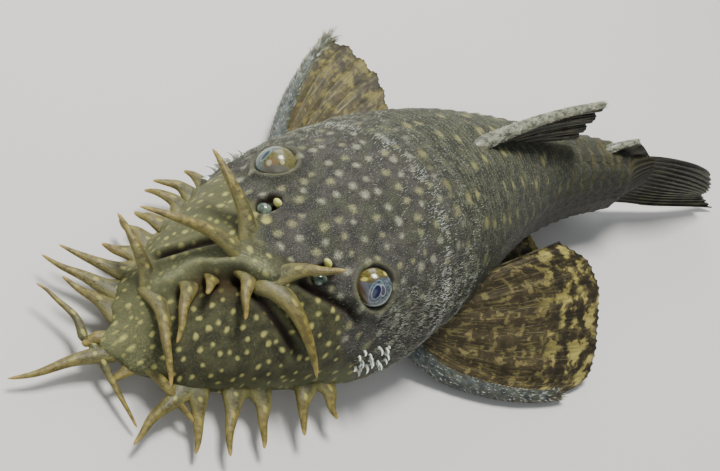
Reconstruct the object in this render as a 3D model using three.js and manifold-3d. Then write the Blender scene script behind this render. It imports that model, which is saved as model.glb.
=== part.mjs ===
// Bristlenose pleco, an adult male at life size, lying still on its belly
// Millimetres, +Z up, +X towards the snout, +Y the fish's own left
// A station is the distance behind the snout tip, measured along the spine
// The origin is on the floor under the belly, at ORIGIN_STATION

import * as THREE from 'three';
import { mergeVertices } from 'three/addons/utils/BufferGeometryUtils.js';
import Module from 'manifold-3d';

const wasm = await Module();
wasm.setup();

// Lengths along the body
const GAP = 0.3;
const BODY_LENGTH = 100;
const ORIGIN_STATION = 36;
const HEAD_END = 38;
const TRUNK_END = 66;

// Bend of the spine seen from above, in degrees, and where each bend starts and how long it is
const BODY_BEND = { start: 35, length: 60, degrees: 21 };
const TAIL_BEND = { start: 95, length: 30, degrees: -13 };
const LINE_START = -20;
const LINE_END = 145;
const LINE_STEP = 0.5;

// Outlines of the body, each as [station, size] from the snout to the tail
const BACK_LINE = [[0, 3.4], [1.5, 4.8], [4, 6.8], [8, 9.2], [13, 11.7], [19, 14.2], [24, 16.2],
  [31, 18.3], [38, 19.9], [47, 20.6], [58, 18.9], [70, 16.7], [86, 14.9], [100, 13.6]];
const UNDERSIDE_LINE = [[0, 1.8], [3, 1.5], [8, 1.5], [22, 1.5], [30, 0], [36, -0.4], [54, -0.4],
  [62, 0.5], [72, 1.8], [86, 2.6], [100, 2.4]];
const WIDEST_HEIGHT = [[0, 2.6], [8, 3], [17, 3.6], [24, 4.2], [38, 5.4], [58, 6.6], [86, 8.3], [100, 8.3]];
const HALF_WIDTH = [[16, 13.05], [20, 14.4], [24, 15.5], [31, 16.1], [38, 15.5], [47, 13.9], [58, 11],
  [70, 7.9], [86, 5.3], [100, 3.7]];
const UNDERSIDE_POWER = [[0, 2], [8, 3], [17, 3.5], [47, 3.5], [70, 2.6], [100, 2.2]];
const BACK_POWER = 2.1;

// The snout's edge seen from above is a power curve up to this station
const SNOUT_END = 16;
const SNOUT_WIDTH = 3.4;
const SNOUT_POWER = 0.485;
const NOSE_ROUNDING = 1.5;

// Grid of the body
const AROUND = 40;
const HEAD_FRONT_RINGS = [0.12, 0.5, 1.2, 2.2, 3.6, 5.4, 7.4];
const HEAD_RING_STEP = 2.04;

// Bony plates in rows along trunk and tail, like roof tiles
const PLATE_PITCH = 3.05;
const PLATE_LIFT = 0.38;
const PLATE_STEP = 0.14;
const PLATE_BULGE = 0.55;
const PLATE_GROOVE = 0.2;
const NAKED_BELLY_END = 58;
const LOWEST_PLATED_PART = 0.62;

// Eyes
// The shift moves both a little towards the fish's right
const EYE = { station: 24.6, side: 9, shift: -0.25, height: 13.35, radius: 2.65 };
const ORBIT_RIM = { radius: 3.05, thickness: 0.75, lift: 0.75, lean: 0.46 };

// Nostrils
const NOSTRIL = { station: 19.5, side: 5.1, radius: 1.3, wall: 0.42, pit: 0.95, depth: 1.1 };

// Mouth disc under the snout
const MOUTH = { station: 13, length: 6, width: 6.8, thickness: 1.2, recess: 0.65 };
const MOUTH_BARBEL = { length: 3.4, root: 0.5, tip: 0.28, height: 0.62 };

// Tentacles round the snout's edge, in order from the right cheek round the tip to the left cheek
// Each has its root station, its side, its length, the direction in which it leaves seen from above,
// counted in degrees from straight ahead with left positive, the lift of its tip, and its sideways curl
const EDGE_TENTACLES = [
  { station: 22, side: -1, length: 3.1, heading: -78, lift: 0.2, curl: -0.6, root: 0.75 },
  { station: 19.4, side: -1, length: 4.8, heading: -55, lift: 0.4, curl: -1.5, root: 0.85 },
  { station: 17, side: -1, length: 4.6, heading: -66, lift: 0, curl: -1.7, root: 0.9 },
  { station: 14.2, side: -1, length: 3.7, heading: -49, lift: 0.5, curl: 0.9, root: 0.9 },
  { station: 11.3, side: -1, length: 4.4, heading: -74, lift: 0, curl: 1.2, root: 0.9 },
  { station: 8.6, side: -1, length: 4.2, heading: -50, lift: 0.4, curl: 0.3, root: 0.9 },
  { station: 6.4, side: -1, length: 8, heading: -46, lift: 1.8, curl: 1, root: 1.05 },
  { station: 4.2, side: -1, length: 9, heading: -55, lift: 1, curl: 1.1, root: 1.1 },
  { station: 2.2, side: -1, length: 6.4, heading: -58, lift: 2, curl: 0.6, root: 0.9 },
  { station: 0.5, side: -0.86, length: 3.6, heading: -16, lift: 0.4, curl: 0, root: 1,
    forks: [{ at: 0.92, length: 8.1, heading: -82, lift: 1.5, curl: -1.6 },
      { at: 0.8, length: 10.1, heading: 88, lift: -0.3, curl: -0.2 }] },
  { station: 0.5, side: -0.45, length: 11.9, heading: -10, lift: 0.4, curl: 0.9, root: 1.15 },
  { station: 0.9, side: 0.5, length: 3.3, heading: 6, lift: 0, curl: 0, root: 0.8 },
  { station: 3.7, side: 1, length: 8.2, heading: 17, lift: 0, curl: -0.4, root: 0.9 },
  { station: 4.7, side: 1, length: 6.6, heading: 58, lift: -0.4, curl: 0.7, root: 0.9 },
  { station: 8.6, side: 1, length: 7, heading: 50, lift: 0, curl: -0.8, root: 0.9 },
  { station: 11, side: 1, length: 6, heading: 62, lift: -0.4, curl: 0.5, root: 0.85 },
  { station: 16.4, side: 1, length: 5.4, heading: 52, lift: -0.2, curl: -0.6, root: 0.85 },
  { station: 19, side: 1, length: 4, heading: 74, lift: -0.2, curl: -0.5, root: 0.8 },
];

// Tentacles on top of the snout, in a Y: one stem up the midline and an arm to each nostril
// Each has its root station and side offset, its tip in body coordinates, and the rise of its arch
const TOP_TENTACLES = [
  { station: 14.2, offset: -1.4, tip: [5.2, -10.4, 13.2], arch: 2.2, root: 1.15 },
  { station: 5.3, offset: -4, tip: [0.2, 6.6, 6.4], arch: 3.2, root: 1.05 },
  { station: 13.6, offset: 2.5, tip: [14.8, 13.2, 9], arch: 1.6, root: 1.25 },
  { station: 15.4, offset: 1.7, tip: [20.4, 6.6, 16.6], arch: 0.9, root: 0.95 },
  { station: 12.9, offset: 0.3, tip: [9.8, 4.4, 11.4], arch: 1.2, root: 0.8 },
  { station: 8.2, offset: -2.5, tip: [2.6, 3.2, 8.2], arch: 2.4, root: 0.95 },
  { station: 10, offset: -1.2, tip: [7.4, 0.6, 10.8], arch: 0.9, root: 0.7 },
  { station: 15.6, offset: -2.4, tip: [16.4, -13.2, 15.4], arch: 2, root: 1.15 },
  { station: 5.6, offset: -4.6, tip: [6.3, -13.2, 8], arch: 1.2, root: 0.95 },
  { station: 0.35, offset: -1.4, tip: [3, 10.4, 2], arch: 1.6, root: 1 },
];
const TENTACLE_TIP = 0.3;
const TENTACLE_SIDES = 6;
const TENTACLE_STEPS = 5;
const TENTACLE_FLARE = 0.75;
const TENTACLE_SINK = 1.1;
const TENTACLE_FLOOR = 0.55;

// Hooked spines in a tuft behind each cheek
const CHEEK_TUFT = { station: 23.8, height: 8, count: 8, spread: 4, length: 2, root: 0.5, tip: 0.16 };
const HOOK_SIDES = 3;
const HOOK_STEPS = 2;

// Fins
const MEMBRANE = 0.28;
const RAY = 0.46;
const SPINE_TUBE_SIDES = 6;
const MARGIN_NOTCH = 0.035;
const FIN_LOWEST = 0.75;
const LEFT_PECTORAL = {
  root: [33.2, 13.8, 4], heading: 35, drop: -5, tilt: 35, fan: [-6, 31], rays: 7,
  lengths: [28, 33, 34, 34, 34, 32, 27], bow: 3.2, spine: [1.35, 0.6],
};
const RIGHT_PECTORAL = {
  root: [33.2, 13.8, 4.2], heading: 30, drop: 5, tilt: 22, fan: [-4, 26], rays: 7,
  lengths: [32, 30.5, 28, 26, 23, 20, 17], bow: 2.6, spine: [1.35, 0.6],
};
const PELVIC = {
  root: [50.5, 7, 1.6], heading: 34, drop: -1.6, tilt: 3, fan: [0, 44], rays: 6,
  lengths: [20, 22, 22, 21, 18, 14], bow: 1.4, edge: [0.7, 0.35],
};
const PECTORAL_ROOT_WIDTH = 4.2;
const PELVIC_ROOT_WIDTH = 3.4;
const DORSAL = { front: 47.4, back: 61.5, rays: 8, firstLength: 27, lastLength: 13, firstRise: 9, lastRise: -4,
  fold: 0.55, sink: 1.6, spine: [1.05, 0.5] };
const ADIPOSE = { front: 84.4, length: 5.6, rise: 30, webEnd: 95.5, spine: [0.85, 0.4] };
const ANAL = { front: 73.5, back: 78, rays: 5, lengths: [8.5, 10.5, 10.5, 9.5, 7.5], firstDrop: 20, lastDrop: -3,
  sink: 1.4, lowest: 0.55 };
const CAUDAL = { rays: 14, upperLength: 24, middleLength: 22.5, lowerLength: 28.5, upperRise: -14, lowerDrop: 4.5,
  rootTop: 13.2, rootBottom: 3.1, lowest: 0.7, sway: 1.1, lean: 4, edge: [0.75, 0.4] };
const FIN_STEPS = 6;

// Colours
const SLATE = 0x3c3b38;
const OLIVE = 0x4f4a34;
const FIN_BROWN = 0x6a5531;
const LIP = 0x8b7f63;
const EYE_BLUE = 0x27384a;

function degrees(angle) {
  return THREE.MathUtils.degToRad(angle);
}

// Smooth curve through [place, value] points
function through(points, place) {
  const last = points.length - 1;
  const x = THREE.MathUtils.clamp(place, points[0][0], points[last][0]);
  let i = 0;
  while (i < last - 1 && x >= points[i + 1][0]) i += 1;
  const slope = (k) => {
    const before = points[Math.max(k - 1, 0)];
    const after = points[Math.min(k + 1, last)];
    return (after[1] - before[1]) / (after[0] - before[0]);
  };
  const span = points[i + 1][0] - points[i][0];
  const t = (x - points[i][0]) / span;
  const t2 = t * t;
  const t3 = t2 * t;
  return (2 * t3 - 3 * t2 + 1) * points[i][1] + (t3 - 2 * t2 + t) * span * slope(i)
    + (3 * t2 - 2 * t3) * points[i + 1][1] + (t3 - t2) * span * slope(i + 1);
}

// Direction of the spine at a station, in radians towards the fish's left going back
function headingAt(station) {
  const turn = (bend) => {
    const t = THREE.MathUtils.clamp((station - bend.start) / bend.length, 0, 1);
    return degrees(bend.degrees) * t * t * (3 - 2 * t);
  };
  return turn(BODY_BEND) + turn(TAIL_BEND);
}

// Points of the spine's line, stepped back from the snout, with the origin station at zero
function spineLine() {
  const line = [[0, 0]];
  for (let s = LINE_START; s < LINE_END; s += LINE_STEP) {
    const heading = headingAt(s + LINE_STEP / 2);
    const [x, y] = line[line.length - 1];
    line.push([x - LINE_STEP * Math.cos(heading), y + LINE_STEP * Math.sin(heading)]);
  }
  const [originX, originY] = line[(ORIGIN_STATION - LINE_START) / LINE_STEP];
  return line.map(([x, y]) => [x - originX, y - originY]);
}
const SPINE = spineLine();

// Body coordinates (station, side, height) to the model's frame
function place(station, side, height) {
  const step = (station - LINE_START) / LINE_STEP;
  const k = THREE.MathUtils.clamp(Math.floor(step), 0, SPINE.length - 2);
  const x = THREE.MathUtils.lerp(SPINE[k][0], SPINE[k + 1][0], step - k);
  const y = THREE.MathUtils.lerp(SPINE[k][1], SPINE[k + 1][1], step - k);
  const heading = headingAt(station);
  return new THREE.Vector3(x + side * Math.sin(heading), y + side * Math.cos(heading), height);
}

function halfWidthAt(station) {
  if (station < SNOUT_END) return SNOUT_WIDTH * station ** SNOUT_POWER;
  return through(HALF_WIDTH, station);
}

// A point of the body's section, as [side, height], at an angle from the fish's left over the back
function sectionPoint(station, angle) {
  const across = Math.cos(angle);
  const up = Math.sin(angle);
  const power = 2 / (up >= 0 ? BACK_POWER : through(UNDERSIDE_POWER, station));
  const widest = through(WIDEST_HEIGHT, station);
  const nose = station < NOSE_ROUNDING ? Math.sqrt(1 - (1 - station / NOSE_ROUNDING) ** 2) : 1;
  const reach = up >= 0 ? through(BACK_LINE, station) - widest : widest - through(UNDERSIDE_LINE, station);
  const side = halfWidthAt(station) * Math.sign(across) * Math.abs(across) ** power;
  return [side, widest + nose * reach * Math.sign(up) * Math.abs(up) ** power];
}

// The same point moved out of the skin by some distance, in the plane of the section
function raisedPoint(station, angle, distance) {
  const [side, height] = sectionPoint(station, angle);
  if (distance === 0) return [side, height];
  const delta = 0.03;
  const before = sectionPoint(station, angle - delta);
  const after = sectionPoint(station, angle + delta);
  const outward = new THREE.Vector2(after[1] - before[1], before[0] - after[0]).normalize();
  return [side + distance * outward.x, height + distance * outward.y];
}

// Height of the back's skin above a place in body coordinates
function skinHeight(station, side) {
  const widest = through(WIDEST_HEIGHT, station);
  const part = Math.min(Math.abs(side) / halfWidthAt(station), 1);
  return widest + (through(BACK_LINE, station) - widest) * (1 - part ** BACK_POWER) ** (1 / BACK_POWER);
}

function geometryFrom(points, triangles) {
  const geometry = new THREE.BufferGeometry();
  geometry.setAttribute('position', new THREE.Float32BufferAttribute(points.flatMap((p) => [p.x, p.y, p.z]), 3));
  geometry.setIndex(triangles.flat());
  return geometry;
}

// A closed skin over rings of equal count, with a point or a flat cap at each end
function loftRings(rings) {
  const count = rings[0].length;
  const points = rings.flat();
  const triangles = [];
  for (let i = 0; i + 1 < rings.length; i += 1) {
    for (let k = 0; k < count; k += 1) {
      const a = i * count + k;
      const b = i * count + (k + 1) % count;
      triangles.push([a, b, b + count], [a, b + count, a + count]);
    }
  }
  const closeEnd = (ring, first, forward) => {
    const centre = points.length;
    points.push(ring.reduce((sum, p) => sum.add(p), new THREE.Vector3()).divideScalar(count));
    for (let k = 0; k < count; k += 1) {
      const pair = [first + k, first + (k + 1) % count];
      if (forward) pair.reverse();
      triangles.push([centre, ...pair]);
    }
  };
  closeEnd(rings[0], 0, true);
  closeEnd(rings[rings.length - 1], (rings.length - 1) * count, false);
  return geometryFrom(points, triangles);
}

// Solids for joining and cutting
function solidOf(geometry) {
  const bare = geometry.clone();
  bare.deleteAttribute('normal');
  bare.deleteAttribute('uv');
  const merged = mergeVertices(bare, 1e-4);
  return new wasm.Manifold(new wasm.Mesh({
    numProp: 3,
    vertProperties: new Float32Array(merged.attributes.position.array),
    triVerts: new Uint32Array(merged.index.array),
  }));
}

function joined(solids) {
  return solids.reduce((whole, solid) => whole.add(solid));
}

function largestPiece(solid) {
  const pieces = solid.decompose();
  return pieces.reduce((best, piece) => (piece.volume() > best.volume() ? piece : best));
}

// The largest closed surface of a solid, as a geometry
function geometryOf(solid) {
  const mesh = largestPiece(solid).getMesh();
  const geometry = new THREE.BufferGeometry();
  geometry.setAttribute('position', new THREE.BufferAttribute(mesh.vertProperties, 3));
  geometry.setIndex(new THREE.BufferAttribute(mesh.triVerts, 1));
  geometry.computeVertexNormals();
  return geometry;
}

// Rings of the body: the head's are smooth, and each plate of trunk and tail has a low and a high one
function headRings() {
  const rings = HEAD_FRONT_RINGS.map((station) => ({ station, raised: 0, bulged: 0 }));
  const first = HEAD_FRONT_RINGS[HEAD_FRONT_RINGS.length - 1];
  const count = Math.round((HEAD_END - first) / HEAD_RING_STEP);
  for (let i = 1; i <= count; i += 1) {
    rings.push({ station: first + (HEAD_END - first) * i / count, raised: 0, bulged: 0 });
  }
  return rings;
}

function platedRings(from, to) {
  const count = Math.round((to - from) / PLATE_PITCH);
  const pitch = (to - from) / count;
  const rings = [{ station: from, raised: 0, bulged: 0 }];
  for (let i = 0; i < count; i += 1) {
    const end = from + pitch * (i + 1);
    const last = i === count - 1;
    rings.push({ station: end - pitch * PLATE_STEP, raised: 1, bulged: last ? 0 : 1 });
    rings.push({ station: end, raised: 0, bulged: last ? 0 : 1 });
  }
  return rings;
}

// Share of a plate's height at a grid line round the body: plates are two grid cells wide
// The lines count from the fish's left over the belly to its right and back
function plateShare(station, line) {
  const lowness = 1 - Math.abs(((line / AROUND + 0.25) % 1) - 0.5) * 2;
  if (station < NAKED_BELLY_END && lowness > LOWEST_PLATED_PART) return 0;
  return line % 2 === 0 ? PLATE_GROOVE : 1;
}

function ringPoints(ring, clearance, floor) {
  const points = [];
  for (let line = 0; line < AROUND; line += 1) {
    const share = plateShare(ring.station, line);
    const station = ring.station + ring.bulged * share * PLATE_BULGE;
    const lift = ring.raised * share * PLATE_LIFT + clearance;
    const [side, height] = raisedPoint(station, -2 * Math.PI * line / AROUND, lift);
    points.push(place(station, side, Math.max(height, floor)));
  }
  return points;
}

function bodySolid(rings, clearance = 0, floor = 0) {
  return solidOf(loftRings(rings.map((ring) => ringPoints(ring, clearance, floor))));
}

// The whole body and the gap round it, which every fin is cut clear of
function bodyWithGap() {
  const rings = [
    ...headRings(),
    ...platedRings(HEAD_END + GAP, TRUNK_END),
    ...platedRings(TRUNK_END + GAP, BODY_LENGTH),
    { station: BODY_LENGTH + GAP, raised: 0, bulged: 0 },
  ];
  return bodySolid(rings, GAP, -2);
}

// A tapered tube along a path from 0 to 1, with a rounded tip
function taperedTube(path, radius, sides, steps) {
  const rings = [];
  for (let i = 0; i <= steps; i += 1) {
    const t = i / steps;
    const centre = path(t);
    const ahead = path(Math.min(t + 0.02, 1));
    const behind = path(Math.max(t - 0.02, 0));
    const along = ahead.sub(behind).normalize();
    const across = new THREE.Vector3(0, 0, 1).cross(along);
    if (across.lengthSq() < 1e-4) across.set(1, 0, 0);
    across.normalize();
    const up = along.clone().cross(across);
    const ring = [];
    for (let k = 0; k < sides; k += 1) {
      const angle = 2 * Math.PI * k / sides;
      const point = centre.clone();
      point.addScaledVector(across, radius(t) * Math.cos(angle));
      point.addScaledVector(up, radius(t) * Math.sin(angle));
      ring.push(point);
    }
    rings.push(ring);
  }
  return loftRings(rings);
}

function bezier(start, middle, end) {
  const curve = new THREE.QuadraticBezierCurve3(start, middle, end);
  return (t) => curve.getPoint(t);
}

// A tentacle's half thickness: a flared root that narrows to a fine tip
function tentacleRadius(root, tip) {
  return (t) => tip + (root - tip) * (1 - t) ** 0.8 + root * TENTACLE_FLARE * Math.max(1 - 4 * t, 0) ** 2;
}

function tentacle(start, middle, end, root) {
  return solidOf(taperedTube(bezier(start, middle, end), tentacleRadius(root, TENTACLE_TIP),
    TENTACLE_SIDES, TENTACLE_STEPS));
}

// Direction seen from above, in degrees from straight ahead with left positive
function ahead(heading) {
  return new THREE.Vector3(Math.cos(degrees(heading)), Math.sin(degrees(heading)), 0);
}

function bent(start, heading, length, lift, curl) {
  const direction = ahead(heading);
  const sideways = new THREE.Vector3(-direction.y, direction.x, 0);
  const end = start.clone().addScaledVector(direction, length);
  end.z = Math.max(start.z + lift - 0.12 * length, TENTACLE_FLOOR);
  const middle = start.clone().lerp(end, 0.5).addScaledVector(sideways, curl);
  middle.z = Math.max(middle.z + 0.5, TENTACLE_FLOOR);
  return { middle, end };
}

function edgeTentacle(spec) {
  const side = spec.side * halfWidthAt(spec.station);
  const root = place(spec.station, side, through(WIDEST_HEIGHT, spec.station));
  const start = root.clone().addScaledVector(ahead(spec.heading), -TENTACLE_SINK);
  const { middle, end } = bent(start, spec.heading, spec.length + TENTACLE_SINK, spec.lift, spec.curl);
  const solids = [tentacle(start, middle, end, spec.root)];
  for (const fork of spec.forks ?? []) {
    const forkStart = bezier(start, middle, end)(fork.at);
    const branch = bent(forkStart, fork.heading, fork.length, fork.lift, fork.curl);
    solids.push(tentacle(forkStart, branch.middle, branch.end, spec.root * 0.7));
  }
  return joined(solids);
}

function topTentacle(spec) {
  const skin = skinHeight(spec.station, spec.offset);
  const start = place(spec.station, spec.offset, skin - TENTACLE_SINK);
  const end = place(...spec.tip);
  const middle = start.clone().lerp(end, 0.45);
  middle.z += spec.arch + TENTACLE_SINK;
  return tentacle(start, middle, end, spec.root);
}

// A tuft of hooked spines behind one cheek
function cheekTuft(sign) {
  const { station, height, count, spread, length, root, tip } = CHEEK_TUFT;
  const spines = [];
  for (let i = 0; i < count; i += 1) {
    const t = i / (count - 1) - 0.5;
    const where = station + spread * t;
    const side = sign * (halfWidthAt(where) - 0.8);
    const start = place(where, side, height + 0.9 * (i % 2) - 0.5);
    const reach = length * (1 - 0.9 * t * t) + 0.8;
    const out = ahead(sign * (68 + 44 * t));
    const end = start.clone().addScaledVector(out, reach);
    end.z += 0.4 - 1.4 * (i % 2);
    const middle = start.clone().lerp(end, 0.6);
    middle.x -= 0.9;
    spines.push(solidOf(taperedTube(bezier(start, middle, end), (u) => root + (tip - root) * u, HOOK_SIDES, HOOK_STEPS)));
  }
  return joined(spines);
}

// The direction in which an eye or its rim faces
function eyeFacing(sign) {
  return new THREE.Vector3(0.1, sign * ORBIT_RIM.lean, 1).normalize();
}

function eyeCentre(sign) {
  return place(EYE.station, sign * EYE.side + EYE.shift, EYE.height);
}

function turned(geometry, centre, facing) {
  const turn = new THREE.Quaternion().setFromUnitVectors(new THREE.Vector3(0, 0, 1), facing);
  geometry.applyQuaternion(turn);
  geometry.translate(centre.x, centre.y, centre.z);
  return geometry;
}

function orbitRim(sign) {
  const ring = new THREE.TorusGeometry(ORBIT_RIM.radius, ORBIT_RIM.thickness, 6, 18);
  const centre = eyeCentre(sign).addScaledVector(eyeFacing(sign), ORBIT_RIM.lift);
  return solidOf(turned(ring, centre, eyeFacing(sign)));
}

function eyeSocket(sign) {
  const ball = new THREE.SphereGeometry(EYE.radius + GAP, 18, 12);
  return solidOf(turned(ball, eyeCentre(sign), eyeFacing(sign)));
}

function nostrilFacing(sign) {
  return new THREE.Vector3(0.28, sign * 0.25, 1).normalize();
}

function nostrilCentre(sign) {
  return place(NOSTRIL.station, sign * NOSTRIL.side, skinHeight(NOSTRIL.station, NOSTRIL.side));
}

function nostrilRim(sign) {
  const ring = new THREE.TorusGeometry(NOSTRIL.radius, NOSTRIL.wall, 5, 10);
  return solidOf(turned(ring, nostrilCentre(sign), nostrilFacing(sign)));
}

function nostrilPit(sign) {
  const pit = new THREE.CylinderGeometry(NOSTRIL.pit, NOSTRIL.pit * 0.6, NOSTRIL.depth * 2, 10);
  pit.rotateX(Math.PI / 2);
  return solidOf(turned(pit, nostrilCentre(sign), nostrilFacing(sign)));
}

function headGeometry() {
  const growths = [-1, 1].flatMap((sign) => [orbitRim(sign), nostrilRim(sign), cheekTuft(sign)]);
  const tentacles = [...EDGE_TENTACLES.map(edgeTentacle), ...TOP_TENTACLES.map(topTentacle)];
  let head = joined([bodySolid(headRings()), ...growths, ...tentacles]);
  for (const sign of [-1, 1]) head = head.subtract(eyeSocket(sign)).subtract(nostrilPit(sign));
  return geometryOf(head);
}

// The sucker mouth: an oval disc of lips that lies flat on the floor, hollowed under its middle
function mouthGeometry() {
  const { thickness, recess } = MOUTH;
  const profile = [[0, recess], [0.38, recess], [0.46, 0], [0.9, 0], [1, 0.35], [1, 0.8], [0.93, thickness],
    [0, thickness]];
  const disc = new THREE.LatheGeometry(profile.map(([r, z]) => new THREE.Vector2(r, z)), 24);
  disc.rotateX(Math.PI / 2);
  disc.scale(MOUTH.length, MOUTH.width, 1);
  const centre = place(MOUTH.station, 0, 0);
  disc.translate(centre.x, centre.y, 0);
  const barbels = [-1, 1].map((sign) => {
    const start = place(MOUTH.station, sign * (MOUTH.width - 0.9), MOUTH_BARBEL.height);
    const end = start.clone().addScaledVector(ahead(sign * 112), MOUTH_BARBEL.length);
    const middle = start.clone().lerp(end, 0.5);
    middle.x += 0.6;
    const radius = (t) => THREE.MathUtils.lerp(MOUTH_BARBEL.root, MOUTH_BARBEL.tip, t);
    return solidOf(taperedTube(bezier(start, middle, end), radius, 6, 4));
  });
  return geometryOf(joined([solidOf(disc), ...barbels]));
}

// A fin's membrane with its rays as ridges: surface(across, along) gives its middle, both from 0 to 1
// The half thickness of its leading edge, from root to tip, and of its last edge may be given
function ribbedSheet(surface, rays, steps, firstEdge = [MEMBRANE, MEMBRANE], lastEdge = [MEMBRANE, MEMBRANE]) {
  const columns = 2 * rays - 1;
  const middle = [];
  for (let i = 0; i < columns; i += 1) {
    const notch = i % 2 === 0 ? 0 : MARGIN_NOTCH;
    for (let j = 0; j <= steps; j += 1) {
      middle.push(surface(i / (columns - 1), j / steps * (1 - notch)));
    }
  }
  const at = (i, j) => middle[i * (steps + 1) + j];
  const top = [];
  const bottom = [];
  for (let i = 0; i < columns; i += 1) {
    for (let j = 0; j <= steps; j += 1) {
      const across = at(Math.min(i + 1, columns - 1), j).clone().sub(at(Math.max(i - 1, 0), j));
      const along = at(i, Math.min(j + 1, steps)).clone().sub(at(i, Math.max(j - 1, 0)));
      const normal = across.cross(along).normalize();
      let ends = i % 2 === 0 ? [RAY, MEMBRANE] : [MEMBRANE, MEMBRANE];
      if (i === 0) ends = firstEdge;
      if (i === columns - 1) ends = lastEdge;
      const half = THREE.MathUtils.lerp(...ends, j / steps);
      top.push(at(i, j).clone().addScaledVector(normal, half));
      bottom.push(at(i, j).clone().addScaledVector(normal, -half));
    }
  }
  const count = top.length;
  const triangles = [];
  const index = (i, j) => i * (steps + 1) + j;
  for (let i = 0; i + 1 < columns; i += 1) {
    for (let j = 0; j < steps; j += 1) {
      const [a, b, c, d] = [index(i, j), index(i + 1, j), index(i + 1, j + 1), index(i, j + 1)];
      triangles.push([a, b, c], [a, c, d]);
      triangles.push([a + count, c + count, b + count], [a + count, d + count, c + count]);
    }
  }
  const rim = [];
  for (let i = 0; i < columns; i += 1) rim.push(index(i, 0));
  for (let j = 1; j <= steps; j += 1) rim.push(index(columns - 1, j));
  for (let i = columns - 2; i >= 0; i -= 1) rim.push(index(i, steps));
  for (let j = steps - 1; j > 0; j -= 1) rim.push(index(0, j));
  for (let k = 0; k < rim.length; k += 1) {
    const a = rim[k];
    const b = rim[(k + 1) % rim.length];
    triangles.push([a, a + count, b + count], [a, b + count, b]);
  }
  return geometryFrom([...top, ...bottom], triangles);
}

function spineTube(path, [root, tip]) {
  return solidOf(taperedTube(path, (t) => THREE.MathUtils.lerp(root, tip, t), SPINE_TUBE_SIDES, FIN_STEPS));
}

// A paired fin: rays that fan back and inwards from a short root, in a plane tilted up towards the body
function pairedFin(spec, rootWidth, sign, gapBody) {
  const [rootStation, rootSide, rootHeight] = spec.root;
  const base = place(rootStation, sign * rootSide, rootHeight);
  const heading = degrees(spec.heading);
  const drop = degrees(spec.drop);
  const spine = new THREE.Vector3(-Math.cos(heading) * Math.cos(drop), sign * Math.sin(heading) * Math.cos(drop),
    Math.sin(drop));
  const flat = new THREE.Vector3(-Math.sin(heading), -sign * Math.cos(heading), 0);
  const inward = flat.addScaledVector(spine, -flat.dot(spine)).normalize();
  const up = new THREE.Vector3(0, 0, 1);
  up.addScaledVector(spine, -up.dot(spine)).addScaledVector(inward, -up.dot(inward)).normalize();
  const rising = inward.clone().multiplyScalar(Math.cos(degrees(spec.tilt)));
  rising.addScaledVector(up, Math.sin(degrees(spec.tilt)));
  const surface = (across, along) => {
    const angle = degrees(THREE.MathUtils.lerp(spec.fan[0], spec.fan[1], across));
    const length = through(spec.lengths.map((size, k) => [k / (spec.lengths.length - 1), size]), across);
    const bow = -spec.bow * (1 - across) * 4 * along * (1 - along);
    const point = base.clone().addScaledVector(rising, across * rootWidth + bow);
    point.addScaledVector(spine, length * along * Math.cos(angle));
    point.addScaledVector(rising, length * along * Math.sin(angle));
    point.z = Math.max(point.z, FIN_LOWEST);
    return point;
  };
  if (spec.edge) return geometryOf(solidOf(ribbedSheet(surface, spec.rays, FIN_STEPS, spec.edge)).subtract(gapBody));
  const sheet = solidOf(ribbedSheet(surface, spec.rays, FIN_STEPS));
  const lead = spineTube((t) => {
    const point = surface(0, t);
    point.z = Math.max(point.z, THREE.MathUtils.lerp(spec.spine[0], spec.spine[1], t) + 0.1);
    return point;
  }, spec.spine);
  return geometryOf(joined([sheet, lead]).subtract(gapBody));
}

// A fin in the body's middle plane: root and tip give [station, height] across the fin
function medianFin(root, tip, sway, rays, steps, edges = []) {
  return ribbedSheet((across, along) => {
    const [rootStation, rootHeight] = root(across);
    const [tipStation, tipHeight] = tip(across);
    const station = THREE.MathUtils.lerp(rootStation, tipStation, along);
    const height = THREE.MathUtils.lerp(rootHeight, tipHeight, along);
    return place(station, sway(across, along), height);
  }, rays, steps, ...edges);
}

function dorsalGeometry(gapBody) {
  const station = (across) => THREE.MathUtils.lerp(DORSAL.front, DORSAL.back, across);
  const root = (across) => [station(across), through(BACK_LINE, station(across)) - DORSAL.sink * (1 - across * 0.5)];
  const tip = (across) => {
    const length = THREE.MathUtils.lerp(DORSAL.firstLength, DORSAL.lastLength, across ** 0.8);
    const rise = degrees(THREE.MathUtils.lerp(DORSAL.firstRise, DORSAL.lastRise, across));
    return [station(across) + length * Math.cos(rise),
      through(BACK_LINE, station(across)) + length * Math.sin(rise) + 0.3];
  };
  const sway = (across, along) => DORSAL.fold * Math.sin(across * Math.PI * (DORSAL.rays - 1)) * along;
  const sheet = solidOf(medianFin(root, tip, sway, DORSAL.rays, FIN_STEPS));
  const [tipStation, tipHeight] = tip(0);
  const lead = spineTube(bezier(place(...[root(0)[0], 0, root(0)[1]]),
    place(root(0)[0] + 12, 0, root(0)[1] + 5), place(tipStation, 0, tipHeight)), DORSAL.spine);
  return geometryOf(joined([sheet, lead]).subtract(gapBody));
}

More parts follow.
